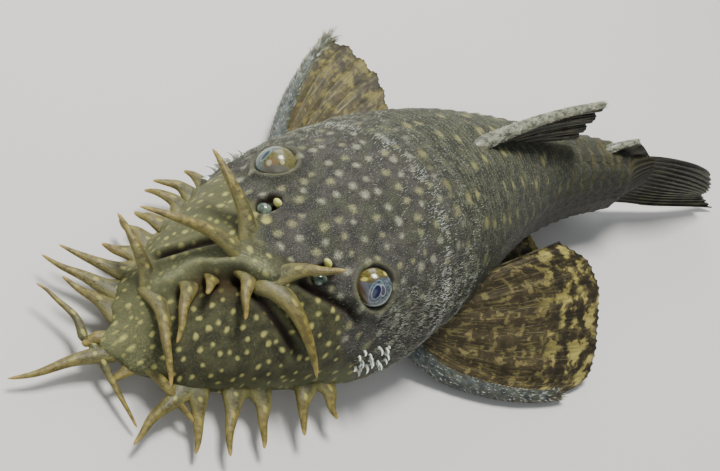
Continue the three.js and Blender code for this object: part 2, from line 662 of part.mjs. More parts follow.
// The small fin before the tail: one spine with a low web behind it
function adiposeGeometry(gapBody) {
  const rootHeight = through(BACK_LINE, ADIPOSE.front) - 1.2;
  const rise = degrees(ADIPOSE.rise);
  const tipStation = ADIPOSE.front + ADIPOSE.length * Math.cos(rise);
  const tipHeight = rootHeight + 1.2 + ADIPOSE.length * Math.sin(rise);
  const lead = spineTube(bezier(place(ADIPOSE.front, 0, rootHeight),
    place(ADIPOSE.front + 2.2, 0, rootHeight + 2.6), place(tipStation, 0, tipHeight)), ADIPOSE.spine);
  const root = (across) => {
    const station = THREE.MathUtils.lerp(ADIPOSE.front, ADIPOSE.webEnd, across);
    return [station, through(BACK_LINE, station) - 1];
  };
  const tip = (across) => {
    const station = THREE.MathUtils.lerp(tipStation, ADIPOSE.webEnd + 0.4, across);
    return [station, THREE.MathUtils.lerp(tipHeight, through(BACK_LINE, station) + 0.2, across)];
  };
  const web = solidOf(medianFin(root, tip, () => 0, 3, 3));
  return geometryOf(joined([web, lead]).subtract(gapBody));
}

function analGeometry(gapBody) {
  const station = (across) => THREE.MathUtils.lerp(ANAL.front, ANAL.back, across);
  const root = (across) => [station(across), through(UNDERSIDE_LINE, station(across)) + ANAL.sink];
  const tip = (across) => {
    const length = through(ANAL.lengths.map((size, k) => [k / (ANAL.lengths.length - 1), size]), across);
    const drop = degrees(THREE.MathUtils.lerp(ANAL.firstDrop, ANAL.lastDrop, across));
    const height = through(UNDERSIDE_LINE, station(across)) - length * Math.sin(drop);
    return [station(across) + length * Math.cos(drop), Math.max(height, ANAL.lowest)];
  };
  const sheet = solidOf(medianFin(root, tip, () => 0, ANAL.rays, FIN_STEPS));
  return geometryOf(sheet.subtract(gapBody));
}

// The tail fin: rays spread from the end of the body, the lower lobe longer than the upper
function caudalGeometry(gapBody) {
  const { upperLength, middleLength, lowerLength, rootTop, rootBottom } = CAUDAL;
  const root = (across) => [BODY_LENGTH + 0.1, THREE.MathUtils.lerp(rootTop, rootBottom, across)];
  const tip = (across) => {
    const length = through([[0, upperLength], [0.5, middleLength], [0.8, lowerLength - 2.5], [1, lowerLength]],
      across);
    const rise = degrees(THREE.MathUtils.lerp(CAUDAL.upperRise, -CAUDAL.lowerDrop, across));
    const [station, height] = root(across);
    return [station + length * Math.cos(rise), Math.max(height + length * Math.sin(rise), CAUDAL.lowest)];
  };
  const sway = (across, along) => {
    const wave = CAUDAL.sway * Math.sin(across * Math.PI * 2);
    return (wave + CAUDAL.lean * across) * along * along;
  };
  const sheet = medianFin(root, tip, sway, CAUDAL.rays, FIN_STEPS, [CAUDAL.edge, CAUDAL.edge]);
  return geometryOf(solidOf(sheet).subtract(gapBody));
}

function material(color, roughness) {
  return new THREE.MeshStandardMaterial({ color, roughness, metalness: 0 });
}

function named(name, geometry, finish) {
  const mesh = new THREE.Mesh(geometry, finish);
  mesh.name = name;
  return mesh;
}

function eyeMesh(name, sign, finish) {
  const eye = named(name, new THREE.SphereGeometry(EYE.radius, 18, 12), finish);
  eye.position.copy(eyeCentre(sign));
  eye.quaternion.setFromUnitVectors(new THREE.Vector3(0, 1, 0), eyeFacing(sign));
  return eye;
}

function bodyGroup() {
  const group = new THREE.Group();
  const skin = material(SLATE, 0.55);
  group.add(named('head', headGeometry(), material(OLIVE, 0.5)));
  group.add(named('mouth', mouthGeometry(), material(LIP, 0.6)));
  group.add(eyeMesh('eye_left', 1, material(EYE_BLUE, 0.1)));
  group.add(eyeMesh('eye_right', -1, material(EYE_BLUE, 0.1)));
  group.add(named('trunk', geometryOf(bodySolid(platedRings(HEAD_END + GAP, TRUNK_END))), skin));
  group.add(named('tail', geometryOf(bodySolid(platedRings(TRUNK_END + GAP, BODY_LENGTH))), skin));
  return group;
}

function finGroup() {
  const group = new THREE.Group();
  const gapBody = bodyWithGap();
  const web = material(FIN_BROWN, 0.45);
  group.add(named('dorsal_fin', dorsalGeometry(gapBody), web));
  group.add(named('adipose_fin', adiposeGeometry(gapBody), web));
  group.add(named('anal_fin', analGeometry(gapBody), web));
  group.add(named('caudal_fin', caudalGeometry(gapBody), web));
  group.add(named('pectoral_fin_left', pairedFin(LEFT_PECTORAL, PECTORAL_ROOT_WIDTH, 1, gapBody), web));
  group.add(named('pectoral_fin_right', pairedFin(RIGHT_PECTORAL, PECTORAL_ROOT_WIDTH, -1, gapBody), web));
  group.add(named('pelvic_fin_left', pairedFin(PELVIC, PELVIC_ROOT_WIDTH, 1, gapBody), web));
  group.add(named('pelvic_fin_right', pairedFin(PELVIC, PELVIC_ROOT_WIDTH, -1, gapBody), web));
  return group;
}

const fish = new THREE.Group();
fish.name = 'bristlenose_pleco';
fish.add(bodyGroup(), finGroup());

export default fish;
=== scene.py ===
import math

import bpy
import numpy as np
from mathutils import Matrix, Vector


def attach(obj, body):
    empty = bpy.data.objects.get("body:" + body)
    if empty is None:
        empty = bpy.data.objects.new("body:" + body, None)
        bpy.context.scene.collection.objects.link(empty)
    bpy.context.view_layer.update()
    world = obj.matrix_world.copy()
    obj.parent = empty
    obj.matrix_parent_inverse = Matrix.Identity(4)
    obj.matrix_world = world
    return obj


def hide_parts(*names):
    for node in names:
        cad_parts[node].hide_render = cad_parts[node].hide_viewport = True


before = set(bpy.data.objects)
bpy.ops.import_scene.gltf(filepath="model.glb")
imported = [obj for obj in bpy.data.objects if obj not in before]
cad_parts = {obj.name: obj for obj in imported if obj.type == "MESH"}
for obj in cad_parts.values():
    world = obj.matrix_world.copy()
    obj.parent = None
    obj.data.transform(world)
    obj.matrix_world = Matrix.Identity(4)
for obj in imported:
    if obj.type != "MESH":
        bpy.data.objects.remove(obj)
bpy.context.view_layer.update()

# A millimetre in metres, and how far tubes stay above the floor
MM = 0.001
CLEARANCE = 0.02

# Body, the same driving sizes as the part's
ORIGIN_STATION = 36.0
HEAD_END = 38.0
BODY_BEND = (35.0, 60.0, 21.0)
TAIL_BEND = (95.0, 30.0, -13.0)
LINE_START = -20.0
LINE_END = 145.0
LINE_STEP = 0.05
BACK_LINE = [(0, 3.4), (1.5, 4.8), (4, 6.8), (8, 9.2), (13, 11.7), (19, 14.2), (24, 16.2), (31, 18.3),
             (38, 19.9), (47, 20.6), (58, 18.9), (70, 16.7), (86, 14.9), (100, 13.6)]
UNDERSIDE_LINE = [(0, 1.8), (3, 1.5), (8, 1.5), (22, 1.5), (30, 0), (36, -0.4), (54, -0.4), (62, 0.5),
                  (72, 1.8), (86, 2.6), (100, 2.4)]
WIDEST_HEIGHT = [(0, 2.6), (8, 3), (17, 3.6), (24, 4.2), (38, 5.4), (58, 6.6), (86, 8.3), (100, 8.3)]
HALF_WIDTH = [(16, 13.05), (20, 14.4), (24, 15.5), (31, 16.1), (38, 15.5), (47, 13.9), (58, 11), (70, 7.9),
              (86, 5.3), (100, 3.7)]
UNDERSIDE_POWER = [(0, 2), (8, 3), (17, 3.5), (47, 3.5), (70, 2.6), (100, 2.2)]
BACK_POWER = 2.1
SNOUT_END = 16.0
SNOUT_WIDTH = 3.4
SNOUT_POWER = 0.485
NOSE_ROUNDING = 1.5
TAIL_CLOSING = (90.0, 101.6)
TAIL_ROUNDING = 3.4
TAIL_THINNEST = 0.3
RAYED_TAIL = (89.5, 94.0)

# Skin grid
HEAD_RINGS = 168
BODY_RINGS = 192
AROUND = 256
BACK_SHARE = 0.7

# Bony plates
PLATE_PITCH = 2.7
PLATE_ROWS = 5
PLATED_TO = 0.66
PLATE_LIFT = 0.2
PLATE_BULGE = 0.42
KEEL_LIFT = 0.12
SEAM_DEPTH = 0.05
TAIL_RAY_LIFT = 0.09
ROW_PITCH = 0.62

# Head
EYE_STATION = 24.6
EYE_SIDE = 9.0
EYE_SHIFT = -0.25
EYE_HEIGHT = 13.35
EYE_RADIUS = 2.62
EYE_LEAN = 0.46
NOSTRIL_STATION = 19.5
NOSTRIL_SIDE = 5.1
NOSTRIL_LONG = 1.45
# Station and side of the clear bulb and of the yellow flap in each nostril, by the sign of its side
NOSTRIL_BULBS = {1: (19.1, 5.5), -1: (18.9, -5.0)}
NOSTRIL_FLAPS = {1: (20.6, 4.4), -1: (20.35, -4.65)}
HOOKS_STATION = 23.8
HOOKS_SPREAD = 4.6
HOOKS_LENGTH = 1.6
HOOKS_COUNT = 24
NAPE_STATION = 36.7
NAPE_BEND = 0.012
NAPE_LIFT = 0.22
# Rims: distance of the crest from the middle, height and width. Hollows: where the floor ends, where
# the edge is, and depth
ORBIT_RIM = (3.0, 0.5, 0.45)
SOCKET = (1.5, 2.6, 1.3)
NOSTRIL_RIM = (1.3, 0.25, 0.25)
NOSTRIL_PIT = (0.7, 1.1, 0.8)
# The snout's forms, as lines and places of station and side
FOLD = [(4.8, -4.6), (5.8, -3.3), (7, -3.2), (8.4, -3.3), (9.6, -3.2), (10.9, -2.1), (11.8, -1.3),
        (12.9, -0.3), (13.4, 0.6), (14, 1.6), (15, 2.6)]
FOLD_LIFT = 0.55
FOLD_SHOULDER = 0.35
FOLD_HOLLOW = 0.75
FAR_SLIT = [(7.2, -7.4), (9.5, -6.0), (11.7, -5.1), (13.4, -4.1)]
CHEEK_GROOVE = [(16.7, 3.8), (17.6, 5.6), (19.1, 7.8), (20.8, 9.8), (21.8, 12)]
SNOUT_GROOVE = [(11.9, 2.2), (12.2, 3.2), (12.9, 6.4), (13.7, 9.0), (14.8, 11.2)]
# Grooves: line, depth, width, width of the painted shade in it
GROOVES = [(FAR_SLIT, 0.7, 0.42, 0.5), (CHEEK_GROOVE, 0.42, 0.4, 0.4), (SNOUT_GROOVE, 0.4, 0.38, 0.42)]
POCKETS = [(7.2, -1.4), (9.4, -0.5), (11.9, 0.3)]
POCKET_DEPTH = 0.65

# Mouth; the disc's profile from its middle is the share of its width, and the height
MOUTH_STATION = 13.0
MOUTH_LENGTH = 6.0
MOUTH_WIDTH = 6.8
TEETH_IN_ROW = 18
BARBEL_ROOT = (5.9, 0.62)
BARBEL_HEADING = 112
BARBEL_LENGTH = 3.4
BARBEL_RADII = (0.5, 0.28)
MOUTH_PROFILE = [(0.02, 0.75), (0.3, 0.75), (0.4, 0.55), (0.46, 0.06), (0.7, 0.0), (0.92, 0.04),
                 (1.0, 0.35), (1.0, 0.9), (0.93, 1.5), (0.02, 1.9)]

# Tentacles on the margin: station, side, length, heading, lift, curl, root
EDGE_TENTACLES = [
    (22, -1, 3.1, -78, 0.2, -0.6, 0.75),
    (19.4, -1, 4.8, -55, 0.4, -1.5, 0.85),
    (17, -1, 4.6, -66, 0, -1.7, 0.9),
    (14.2, -1, 3.7, -49, 0.5, 0.9, 0.9),
    (11.3, -1, 4.4, -74, 0, 1.2, 0.9),
    (8.6, -1, 4.2, -50, 0.4, 0.3, 0.9),
    (6.4, -1, 8, -46, 1.8, 1, 1.05),
    (4.2, -1, 9, -55, 1, 1.1, 1.1),
    (2.2, -1, 6.4, -58, 2, 0.6, 0.9),
    (0.5, -0.86, 3.6, -16, 0.4, 0, 0.9),
    (0.5, -0.45, 11.9, -10, 0.4, 0.9, 1.15),
    (0.9, 0.5, 3.3, 6, 0, 0, 0.8),
    (3.7, 1, 8.2, 17, 0, -0.4, 0.9),
    (4.7, 1, 6.6, 58, -0.4, 0.7, 0.9),
    (8.6, 1, 7, 50, 0, -0.8, 0.9),
    (11, 1, 6, 62, -0.4, 0.5, 0.85),
    (16.4, 1, 5.4, 52, -0.2, -0.6, 0.85),
    (19, 1, 4, 74, -0.2, -0.5, 0.8),
]
# Forks: number of the tentacle, where it parts, length, heading, lift, curl
FORKS = [(9, 0.92, 8.1, -82, 1.5, -1.6), (9, 0.8, 10.1, 88, -0.3, -0.2)]
# Tentacles on top of the snout: station, offset, tip, arch, root
TOP_TENTACLES = [
    (14.2, -1.4, (5.2, -10.4, 13.2), 2.2, 1.15),
    (5.3, -4, (0.2, 6.6, 6.4), 2.6, 0.95),
    (14.5, 2.1, (15.2, 13.6, 7.6), 4.2, 1.5),
    (14.9, 2.2, (20.6, 6.5, 15.9), 0.9, 1.2),
    (13.2, -0.1, (9.1, 5.1, 11.2), 1.3, 0.95),
    (8.2, -2.5, (2.6, 3.2, 8.2), 1.8, 0.85),
    (10, -1.2, (7.4, 0.6, 10.8), 0.7, 0.65),
    (15.6, -2.4, (16.4, -13.2, 15.4), 2, 1.15),
    (5.6, -4.6, (6.3, -13.2, 8), 1.2, 0.9),
    (0.35, -1.4, (3, 10.4, 2), 1.6, 1),
]
TENTACLE_TIP = 0.12
TENTACLE_TAPERS = (0.7, 0.95)
SLENDER = (6, 12)
WAVER = 0.22
TENTACLE_HEIGHT = 0.72
TENTACLE_WEB = 1.1
TENTACLE_WEB_LENGTH = 1.5
TENTACLE_SINK = 1.1
BASE_ROUNDING = 1.2
TOP_LEAD = 1.2
TOP_SINK = 1.7
TOP_BURIED = 2.0
EDGE_BURIED = 0.6
TOP_WEB = 0.62
STUB = 9
STUB_TAPER = 0.32
STUB_WEB = 0.33
FORK_ROOT = 0.66
TENTACLE_FLOOR = 0.45
TENTACLE_AROUND = 16
TENTACLE_STEPS = 36
WEB_PULL = 1.3
TOP_PULL = 0.5
WEB_SPREAD = 1.35
MARGIN_SHRINK = 0.7

# Odontodes: how deep their roots lie, and half the width of each one's patch of the bake map
BRISTLE_SUNK = 0.1
BRISTLE_PATCH = 0.0015

# Fins
FIN_LOWEST = 0.5
MEMBRANE_LOWEST = 0.25
MEMBRANE = 0.09
MEMBRANE_SAG = 0.16
RAY_STEPS = 26
# Columns between two rays and rows of a membrane's grid
PAIRED_GRID = (12, 60)
MEDIAN_GRID = (10, 48)
PAIRED_RAY = (0.2, 0.06)
MEDIAN_RAY = (0.24, 0.1)
FIRST_PARTING = 0.16
SECOND_PARTING = 0.09
SPINE_FLATNESS = 0.8
SPINE_UNDER = 0.2
PECTORAL_ROOT_WIDTH = 4.2
PELVIC_ROOT_WIDTH = 3.4
LEFT_PECTORAL = dict(root=(33.2, 13.8, 4), heading=35, drop=-5, tilt=35, fan=(-6, 31), rays=7,
                     lengths=(28, 33, 34, 34, 34, 32, 27), bow=3.2, spine=(1.42, 0.75),
                     wide=PECTORAL_ROOT_WIDTH)
RIGHT_PECTORAL = dict(root=(33.2, 13.8, 4.2), heading=30, drop=5, tilt=22, fan=(-4, 26), rays=7,
                      lengths=(31.2, 30.2, 28, 26, 23, 20, 17), bow=1.9, spine=(1.35, 0.6),
                      wide=PECTORAL_ROOT_WIDTH)
PELVIC = dict(root=(50.5, 7, 1.6), heading=34, drop=-1.6, tilt=3, fan=(0, 44), rays=6,
              lengths=(20, 22, 22, 21, 18, 14), bow=1.4, spine=(0.7, 0.35), wide=PELVIC_ROOT_WIDTH)
DORSAL_FRONT = 47.4
DORSAL_BACK = 61.5
DORSAL_RAYS = 8
DORSAL_LENGTHS = (27, 13)
DORSAL_RISES = (9, -4)
DORSAL_ARCH = 0.96
DORSAL_SUNK = 1.6
DORSAL_PLEATS = 0.55
DORSAL_SPINE = (1.05, 0.5)
ADIPOSE_FRONT = 83.8
ADIPOSE_LENGTH = 6.6
ADIPOSE_RISE = 20
ADIPOSE_WEB_END = 95.5
ADIPOSE_SPINE = (0.85, 0.4)
ADIPOSE_RAYS = 3
ANAL_FRONT = 73.5
ANAL_BACK = 78.0
ANAL_LENGTHS = (8.5, 10.5, 10.5, 9.5, 7.5)
ANAL_DROPS = (20, -3)
ANAL_SUNK = 1.4
CAUDAL_RAYS = 14
CAUDAL_LENGTHS = [(0, 24), (0.5, 22.5), (0.8, 26), (1, 28.5)]
CAUDAL_RISES = (-14, -4.5)
CAUDAL_ROOT = (13.2, 3.1)
CAUDAL_START = (95.5, 14.0, 2.4)
CAUDAL_STATION = 98.6
CAUDAL_SWAY = 1.1
CAUDAL_ARCH = 2.2
CAUDAL_LEAN = 4.0

# Colours of the skin
SNOUT_SKIN = (0.080, 0.082, 0.034)
SNOUT_DARK = (0.036, 0.035, 0.015)
SNOUT_PALE = (0.20, 0.21, 0.11)
SNOUT_DOT = (0.50, 0.48, 0.155)
SNOUT_SMALL_DOT = (0.30, 0.285, 0.095)
# Brown of the hollow beside the snout's fold: partly the skin's own brown, partly painted shade
SNOUT_BROWN_AND_SHADE = (0.046, 0.025, 0.005)
# Paler snout olive; on the far half it is partly painted light, where that half faces the light
SNOUT_FAR = (0.175, 0.185, 0.082)
HEAD_SKIN = (0.074, 0.068, 0.058)
HEAD_OLIVE = (0.062, 0.065, 0.040)
HEAD_DARK = (0.034, 0.031, 0.027)
HEAD_DOT = (0.44, 0.44, 0.31)
HEAD_YELLOW_DOT = (0.35, 0.345, 0.165)
# Pale flecks and rows of flecks: partly the odontodes' pale colour, partly painted glints
FLECK_AND_GLINT = (0.40, 0.43, 0.38)
TRUNK_SKIN = (0.058, 0.061, 0.036)
TRUNK_DARK = (0.022, 0.025, 0.018)
TRUNK_DOT = (0.30, 0.29, 0.10)
TAIL_SKIN = (0.030, 0.027, 0.009)
TAIL_DOT = (0.115, 0.10, 0.026)
ROW_FLECK_AND_GLINT = (0.26, 0.27, 0.14)
CREST_PALE = (0.22, 0.235, 0.125)
CREST_STREAK = (0.42, 0.43, 0.25)
RAY_COLOUR = (0.058, 0.053, 0.020)
MEMBRANE_COLOUR = (0.010, 0.009, 0.004)
FLANK_SHADE = (0.010, 0.010, 0.007)
BELLY_SKIN = (0.42, 0.38, 0.28)
# Painted shade, near black, in the nostril pits, the snout's slit and grooves, and its pockets
HOLLOW_SHADE = (0.014, 0.008, 0.003)

# Camera, fitted to the photo: where it looks, from which side and height, and how far it is tilted
VIEW_AZIMUTH = 72.19
VIEW_ELEVATION = 41.24
VIEW_ROLL = 39.55
VIEW_DISTANCE = 123.5
VIEW_TARGET = (1.49, 0.75, 8.0)
FOCAL_PIXELS = 979.5
PICTURE_WIDTH = 720
SENSOR = 36.0

# Lights: name, place in metres, size, power, colour; and the room's light
LIGHTS = [
    ("key", (-0.06, -0.14, 0.42), 0.14, 2.9, (1.0, 0.98, 0.93)),
    ("fill", (0.35, 0.35, 0.25), 0.4, 0.6, (0.94, 0.97, 1.0)),
    ("rim", (-0.25, -0.4, 0.3), 0.3, 1.0, (1.0, 1.0, 1.0)),
]
ROOM_LIGHT = 0.28
ROOM_COLOUR = (0.93, 0.96, 1.0)


def through(table, x):
    """Smooth line through the table's points: between two points a cubic that has, at each point, the
    slope of the line from the point before it to the point after it."""
    points = np.asarray(table, float)
    places = points[:, 0]
    values = points[:, 1]
    slopes = np.empty(len(points))
    slopes[1:-1] = (values[2:] - values[:-2]) / (places[2:] - places[:-2])
    slopes[0] = (values[1] - values[0]) / (places[1] - places[0])
    slopes[-1] = (values[-1] - values[-2]) / (places[-1] - places[-2])
    x = np.clip(np.asarray(x, float), places[0], places[-1])
    left = np.clip(np.searchsorted(places, x, side="right") - 1, 0, len(points) - 2)
    gap = places[left + 1] - places[left]
    t = (x - places[left]) / gap
    before = (2 * t**3 - 3 * t**2 + 1) * values[left] + (t**3 - 2 * t**2 + t) * gap * slopes[left]
    after = (3 * t**2 - 2 * t**3) * values[left + 1] + (t**3 - t**2) * gap * slopes[left + 1]
    return before + after


def spread_lengths(lengths):
    """The lengths as a table over 0 to 1."""
    return [(k / (len(lengths) - 1), size) for k, size in enumerate(lengths)]


def smooth(low, high, x):
    """0 below low, 1 above high, and 3t^2 - 2t^3 between them."""
    t = np.clip((x - low) / (high - low), 0, 1)
    return t * t * (3 - 2 * t)


def bell(x, width):
    """exp(-(x / width)^2)"""
    return np.exp(-((x / width) ** 2))


def heading(station):
    """Turn of the midline at a station: each bend adds its degrees times 3t^2 - 2t^3."""
    total = 0.0
    for start, length, degrees in (BODY_BEND, TAIL_BEND):
        total = total + math.radians(degrees) * smooth(start, start + length, np.asarray(station, float))
    return total


def midline():
    """Stations, and x and y of the midline, summed from steps along its heading."""
    stations = np.arange(LINE_START, LINE_END + LINE_STEP / 2, LINE_STEP)
    turn = heading(stations[:-1] + LINE_STEP / 2)
    x = np.concatenate([[0], np.cumsum(-LINE_STEP * np.cos(turn))])
    y = np.concatenate([[0], np.cumsum(LINE_STEP * np.sin(turn))])
    return stations, x - np.interp(ORIGIN_STATION, stations, x), y - np.interp(ORIGIN_STATION, stations, y)


MIDLINE = midline()


def place(station, side, height):
    """The midline's point at the station, moved sideways at right angles to the midline, at a height."""
    station, side, height = np.broadcast_arrays(np.asarray(station, float), side, height)
    turn = heading(station)
    x = np.interp(station, MIDLINE[0], MIDLINE[1]) + side * np.sin(turn)
    y = np.interp(station, MIDLINE[0], MIDLINE[2]) + side * np.cos(turn)
    return np.stack([x, y, height], axis=-1)


def half_width(station):
    """A power of the station on the snout, and the table behind it, drawn in to a wedge where the
    tail fin starts."""
    station = np.asarray(station, float)
    snout = SNOUT_WIDTH * np.maximum(station, 0) ** SNOUT_POWER
    wide = np.where(station < SNOUT_END, snout, through(HALF_WIDTH, station))
    t = np.clip((station - TAIL_CLOSING[0]) / (TAIL_CLOSING[1] - TAIL_CLOSING[0]), 0, 1)
    return wide * (1 - t)


def closed_earlier(station, angle):
    """The station whose width the tail has at an angle: the wedge ends earlier above and below, so that
    its edge is round."""
    return station + TAIL_ROUNDING * np.sin(angle) ** 2 * smooth(86, 94, station)


def section(station, angle):
    """Superellipse round the body: side = half width x |cos|^(2/power), height above or below the
    widest point = reach x |sin|^(2/power). The reach shrinks as a circle does at the snout tip."""
    station, angle = np.broadcast_arrays(np.asarray(station, float), angle)
    across = np.cos(angle)
    up = np.sin(angle)
    widest = through(WIDEST_HEIGHT, station)
    power = 2 / np.where(up >= 0, BACK_POWER, through(UNDERSIDE_POWER, station))
    nose = np.sqrt(1 - np.clip(1 - station / NOSE_ROUNDING, 0, 1) ** 2)
    above = through(BACK_LINE, station) - widest
    below = widest - through(UNDERSIDE_LINE, station)
    wide = half_width(closed_earlier(station, angle))
    side = wide * np.sign(across) * np.abs(across) ** power
    height = widest + nose * np.where(up >= 0, above, below) * np.sign(up) * np.abs(up) ** power
    return place(station, side, height)


def skin_height(station, side):
    """Height of the smooth back over a point beside the midline."""
    widest = through(WIDEST_HEIGHT, station)
    share = np.clip(1 - (np.abs(side) / half_width(station)) ** BACK_POWER, 0, 1)
    return widest + (through(BACK_LINE, station) - widest) * share ** (1 / BACK_POWER)


def side_at(station, angle):
    """Distance beside the midline of the back's outline at an angle."""
    across = np.cos(angle)
    return half_width(station) * np.sign(across) * np.abs(across) ** (2 / BACK_POWER)


def from_back(angle):
    """Share of the way round from the back to the belly: 0 on the back, half at either margin."""
    return np.abs(angle - math.pi / 2) / math.pi


def past_nape(station, side):
    """Distance behind the edge of the nape, which lies further forward at its sides."""
    return station - NAPE_STATION + NAPE_BEND * side**2


def unit(vectors):
    """The vectors, each divided by its length."""
    return vectors / np.maximum(np.linalg.norm(vectors, axis=-1, keepdims=True), 1e-9)


def to_polyline(points, station, side):
    """Distance from each (station, side) to a line of straight stretches, and the share of the line
    at the nearest point."""
    here = np.stack([station, side], axis=-1)
    best = np.full(station.shape, 1e9)
    share = np.zeros(station.shape)
    line = np.asarray(points, float)
    for k in range(len(line) - 1):
        stretch = line[k + 1] - line[k]
        t = np.clip(((here - line[k]) @ stretch) / (stretch @ stretch), 0, 1)
        gap = np.linalg.norm(here - line[k] - t[..., None] * stretch, axis=-1)
        share = np.where(gap < best, (k + t) / (len(line) - 1), share)
        best = np.minimum(gap, best)
    return best, share


def ripple(points, size, seed):
    """Soft unevenness between -1 and 1: a mean of sine waves in seeded directions."""
    draw = np.random.default_rng(seed)
    waves = draw.normal(size=(7, 3))
    waves = waves / np.linalg.norm(waves, axis=1, keepdims=True) * (2 * math.pi / size)
    waves = waves * draw.uniform(0.6, 1.5, size=(7, 1))
    phases = draw.uniform(0, 2 * math.pi, size=7)
    return np.sin(points @ waves.T + phases).mean(axis=-1) * 1.6


def eye_facing(sign):
    """The way that an eye looks: up, outwards and a little forwards."""
    return unit(np.array([0.1, sign * EYE_LEAN, 1.0]))


def eye_centre(sign):
    return place(EYE_STATION, sign * EYE_SIDE + EYE_SHIFT, EYE_HEIGHT)


def nostril_gap(station, side, sign):
    """Distance from a nostril's centre, measured shorter along the body, so that it comes out oval."""
    return np.hypot((station - NOSTRIL_STATION) / NOSTRIL_LONG, side - sign * NOSTRIL_SIDE)


def plate_phase(station, low):
    """Where a point lies on its plate, from its station and its share of the way from back to belly: the
    place across the row, and the share of the plate's length, 0 at its front and 1 at its free rear
    edge, which bulges backwards in the middle."""
    row_place = low / PLATED_TO * PLATE_ROWS
    row = np.floor(row_place)
    across = row_place - row
    bulge = PLATE_BULGE * (1 - (2 * across - 1) ** 2)
    count = (station - HEAD_END) / PLATE_PITCH + 0.5 * np.mod(row, 2) - bulge
    return across, count - np.floor(count)


def plate_relief(station, low):
    """Height of the bony plates: it grows along each plate and drops at the free edge. A keel runs
    along the middle of each row, and the rows meet in shallow seams."""
    across, phase = plate_phase(station, low)
    step = phase**1.3 * (1 - smooth(0.9, 1.0, phase))
    keel = KEEL_LIFT * bell(across - 0.5, 0.16) * (0.5 + phase)
    seam = -SEAM_DEPTH * bell(np.minimum(across, 1 - across), 0.07)
    shown = smooth(35.5, 39.5, station) * (1 - smooth(RAYED_TAIL[0] - 1, RAYED_TAIL[1] - 1, station))
    shown = shown * (1 - smooth(PLATED_TO - 0.06, PLATED_TO, low) * (1 - smooth(55, 61, station)))
    return shown * (PLATE_LIFT * step + keel + seam)


def tail_rays(station, height):
    """How far a place on the tail's end lies across its fin, in rays, and how strongly the rays show
    there through the skin."""
    across = (CAUDAL_ROOT[0] - height) / (CAUDAL_ROOT[0] - CAUDAL_ROOT[1])
    return across * (CAUDAL_RAYS - 1), smooth(*RAYED_TAIL, station + 2.2 * np.abs(across - 0.5))


def rim_and_hollow(far, rim, hollow):
    """Height at a distance from an opening's middle: a bell round the rim, and a hollow with a level
    floor inside it."""
    crest, height, width = rim
    floor_end, edge, depth = hollow
    return height * bell(far - crest, width) - depth * (1 - smooth(floor_end, edge, far))


def head_relief(points, station, side, upper):
    """Height of the head's own forms: orbit rims and sockets, nostril rims and pits, the fleshy fold
    across the snout, its grooves and pockets, the edge of the nape and soft unevenness."""
    height = 0.1 * ripple(points, 5.0, 3) * smooth(1, 5, station) * (1 - smooth(36, 42, station))
    for sign in (-1, 1):
        far = np.linalg.norm(points - eye_centre(sign), axis=-1)
        height = height + rim_and_hollow(far, ORBIT_RIM, SOCKET)
        far = nostril_gap(station, side, sign)
        height = height + upper * rim_and_hollow(far, NOSTRIL_RIM, NOSTRIL_PIT)
    fold, share = to_polyline(FOLD, station, side)
    near_side = smooth(-0.3, 0.6, side - np.interp(station, *np.transpose(FOLD)))
    ends = smooth(0, 0.15, share) * (1 - smooth(0.88, 1, share))
    shoulder = FOLD_SHOULDER * (1 - near_side) * bell(fold, 2.2)
    height = height + upper * ends * (FOLD_LIFT * bell(fold, 0.7) + shoulder)
    height = height - upper * ends * FOLD_HOLLOW * near_side * bell(fold - 1.5, 0.9)
    for line, depth, width, _ in GROOVES:
        gap, share = to_polyline(line, station, side)
        ends = smooth(0, 0.12, share) * (1 - smooth(0.8, 1, share))
        height = height + upper * ends * (0.3 * bell(gap - 0.95, 0.55) - depth * bell(gap, width))
    for where, offset in POCKETS:
        gap = np.hypot(station - where, side - offset)
        height = height - upper * POCKET_DEPTH * bell(gap, 0.75)
    height = height + upper * NAPE_LIFT * bell(past_nape(station, side), 0.7) * bell(side, 9)
    canthus = np.abs(side) - 8.2 - 0.22 * (station - EYE_STATION)
    height = height + (upper * 0.3 * bell(canthus, 1.6) * smooth(17, 21, station)
                       * (1 - smooth(27, 33, station)))
    return height


def skin_base(station, angle):
    """The smooth section and its outward direction, from small steps along and round the body."""
    small = 0.01
    point = section(station, angle)
    along = section(station + small, angle) - section(np.maximum(station - small, 0), angle)
    round_it = section(station, angle + small) - section(station, angle - small)
    normal = unit(np.cross(round_it, along))
    outwards = point - place(station, 0, through(WIDEST_HEIGHT, station))
    normal = normal * np.sign(np.sum(normal * outwards, axis=-1, keepdims=True) + 1e-12)
    return point, normal, unit(along)


def webs(points):
    """Pulls the skin out along each tentacle's root, by a bell of the distance from the root, so that
    the roots flare and the margin hangs between them."""
    moved = np.zeros_like(points)
    for root, direction, thick, pull in tentacle_roots():
        far = np.linalg.norm(points - root, axis=-1, keepdims=True)
        moved = moved + direction * pull * thick * bell(far, WEB_SPREAD * thick)
    return points + moved


def drawn_in(station, angle):
    """How far the snout's margin is drawn in between the tentacles' roots."""
    return MARGIN_SHRINK * bell(np.sin(angle), 0.35) * smooth(0.3, 2, station) * (1 - smooth(17, 23, station))


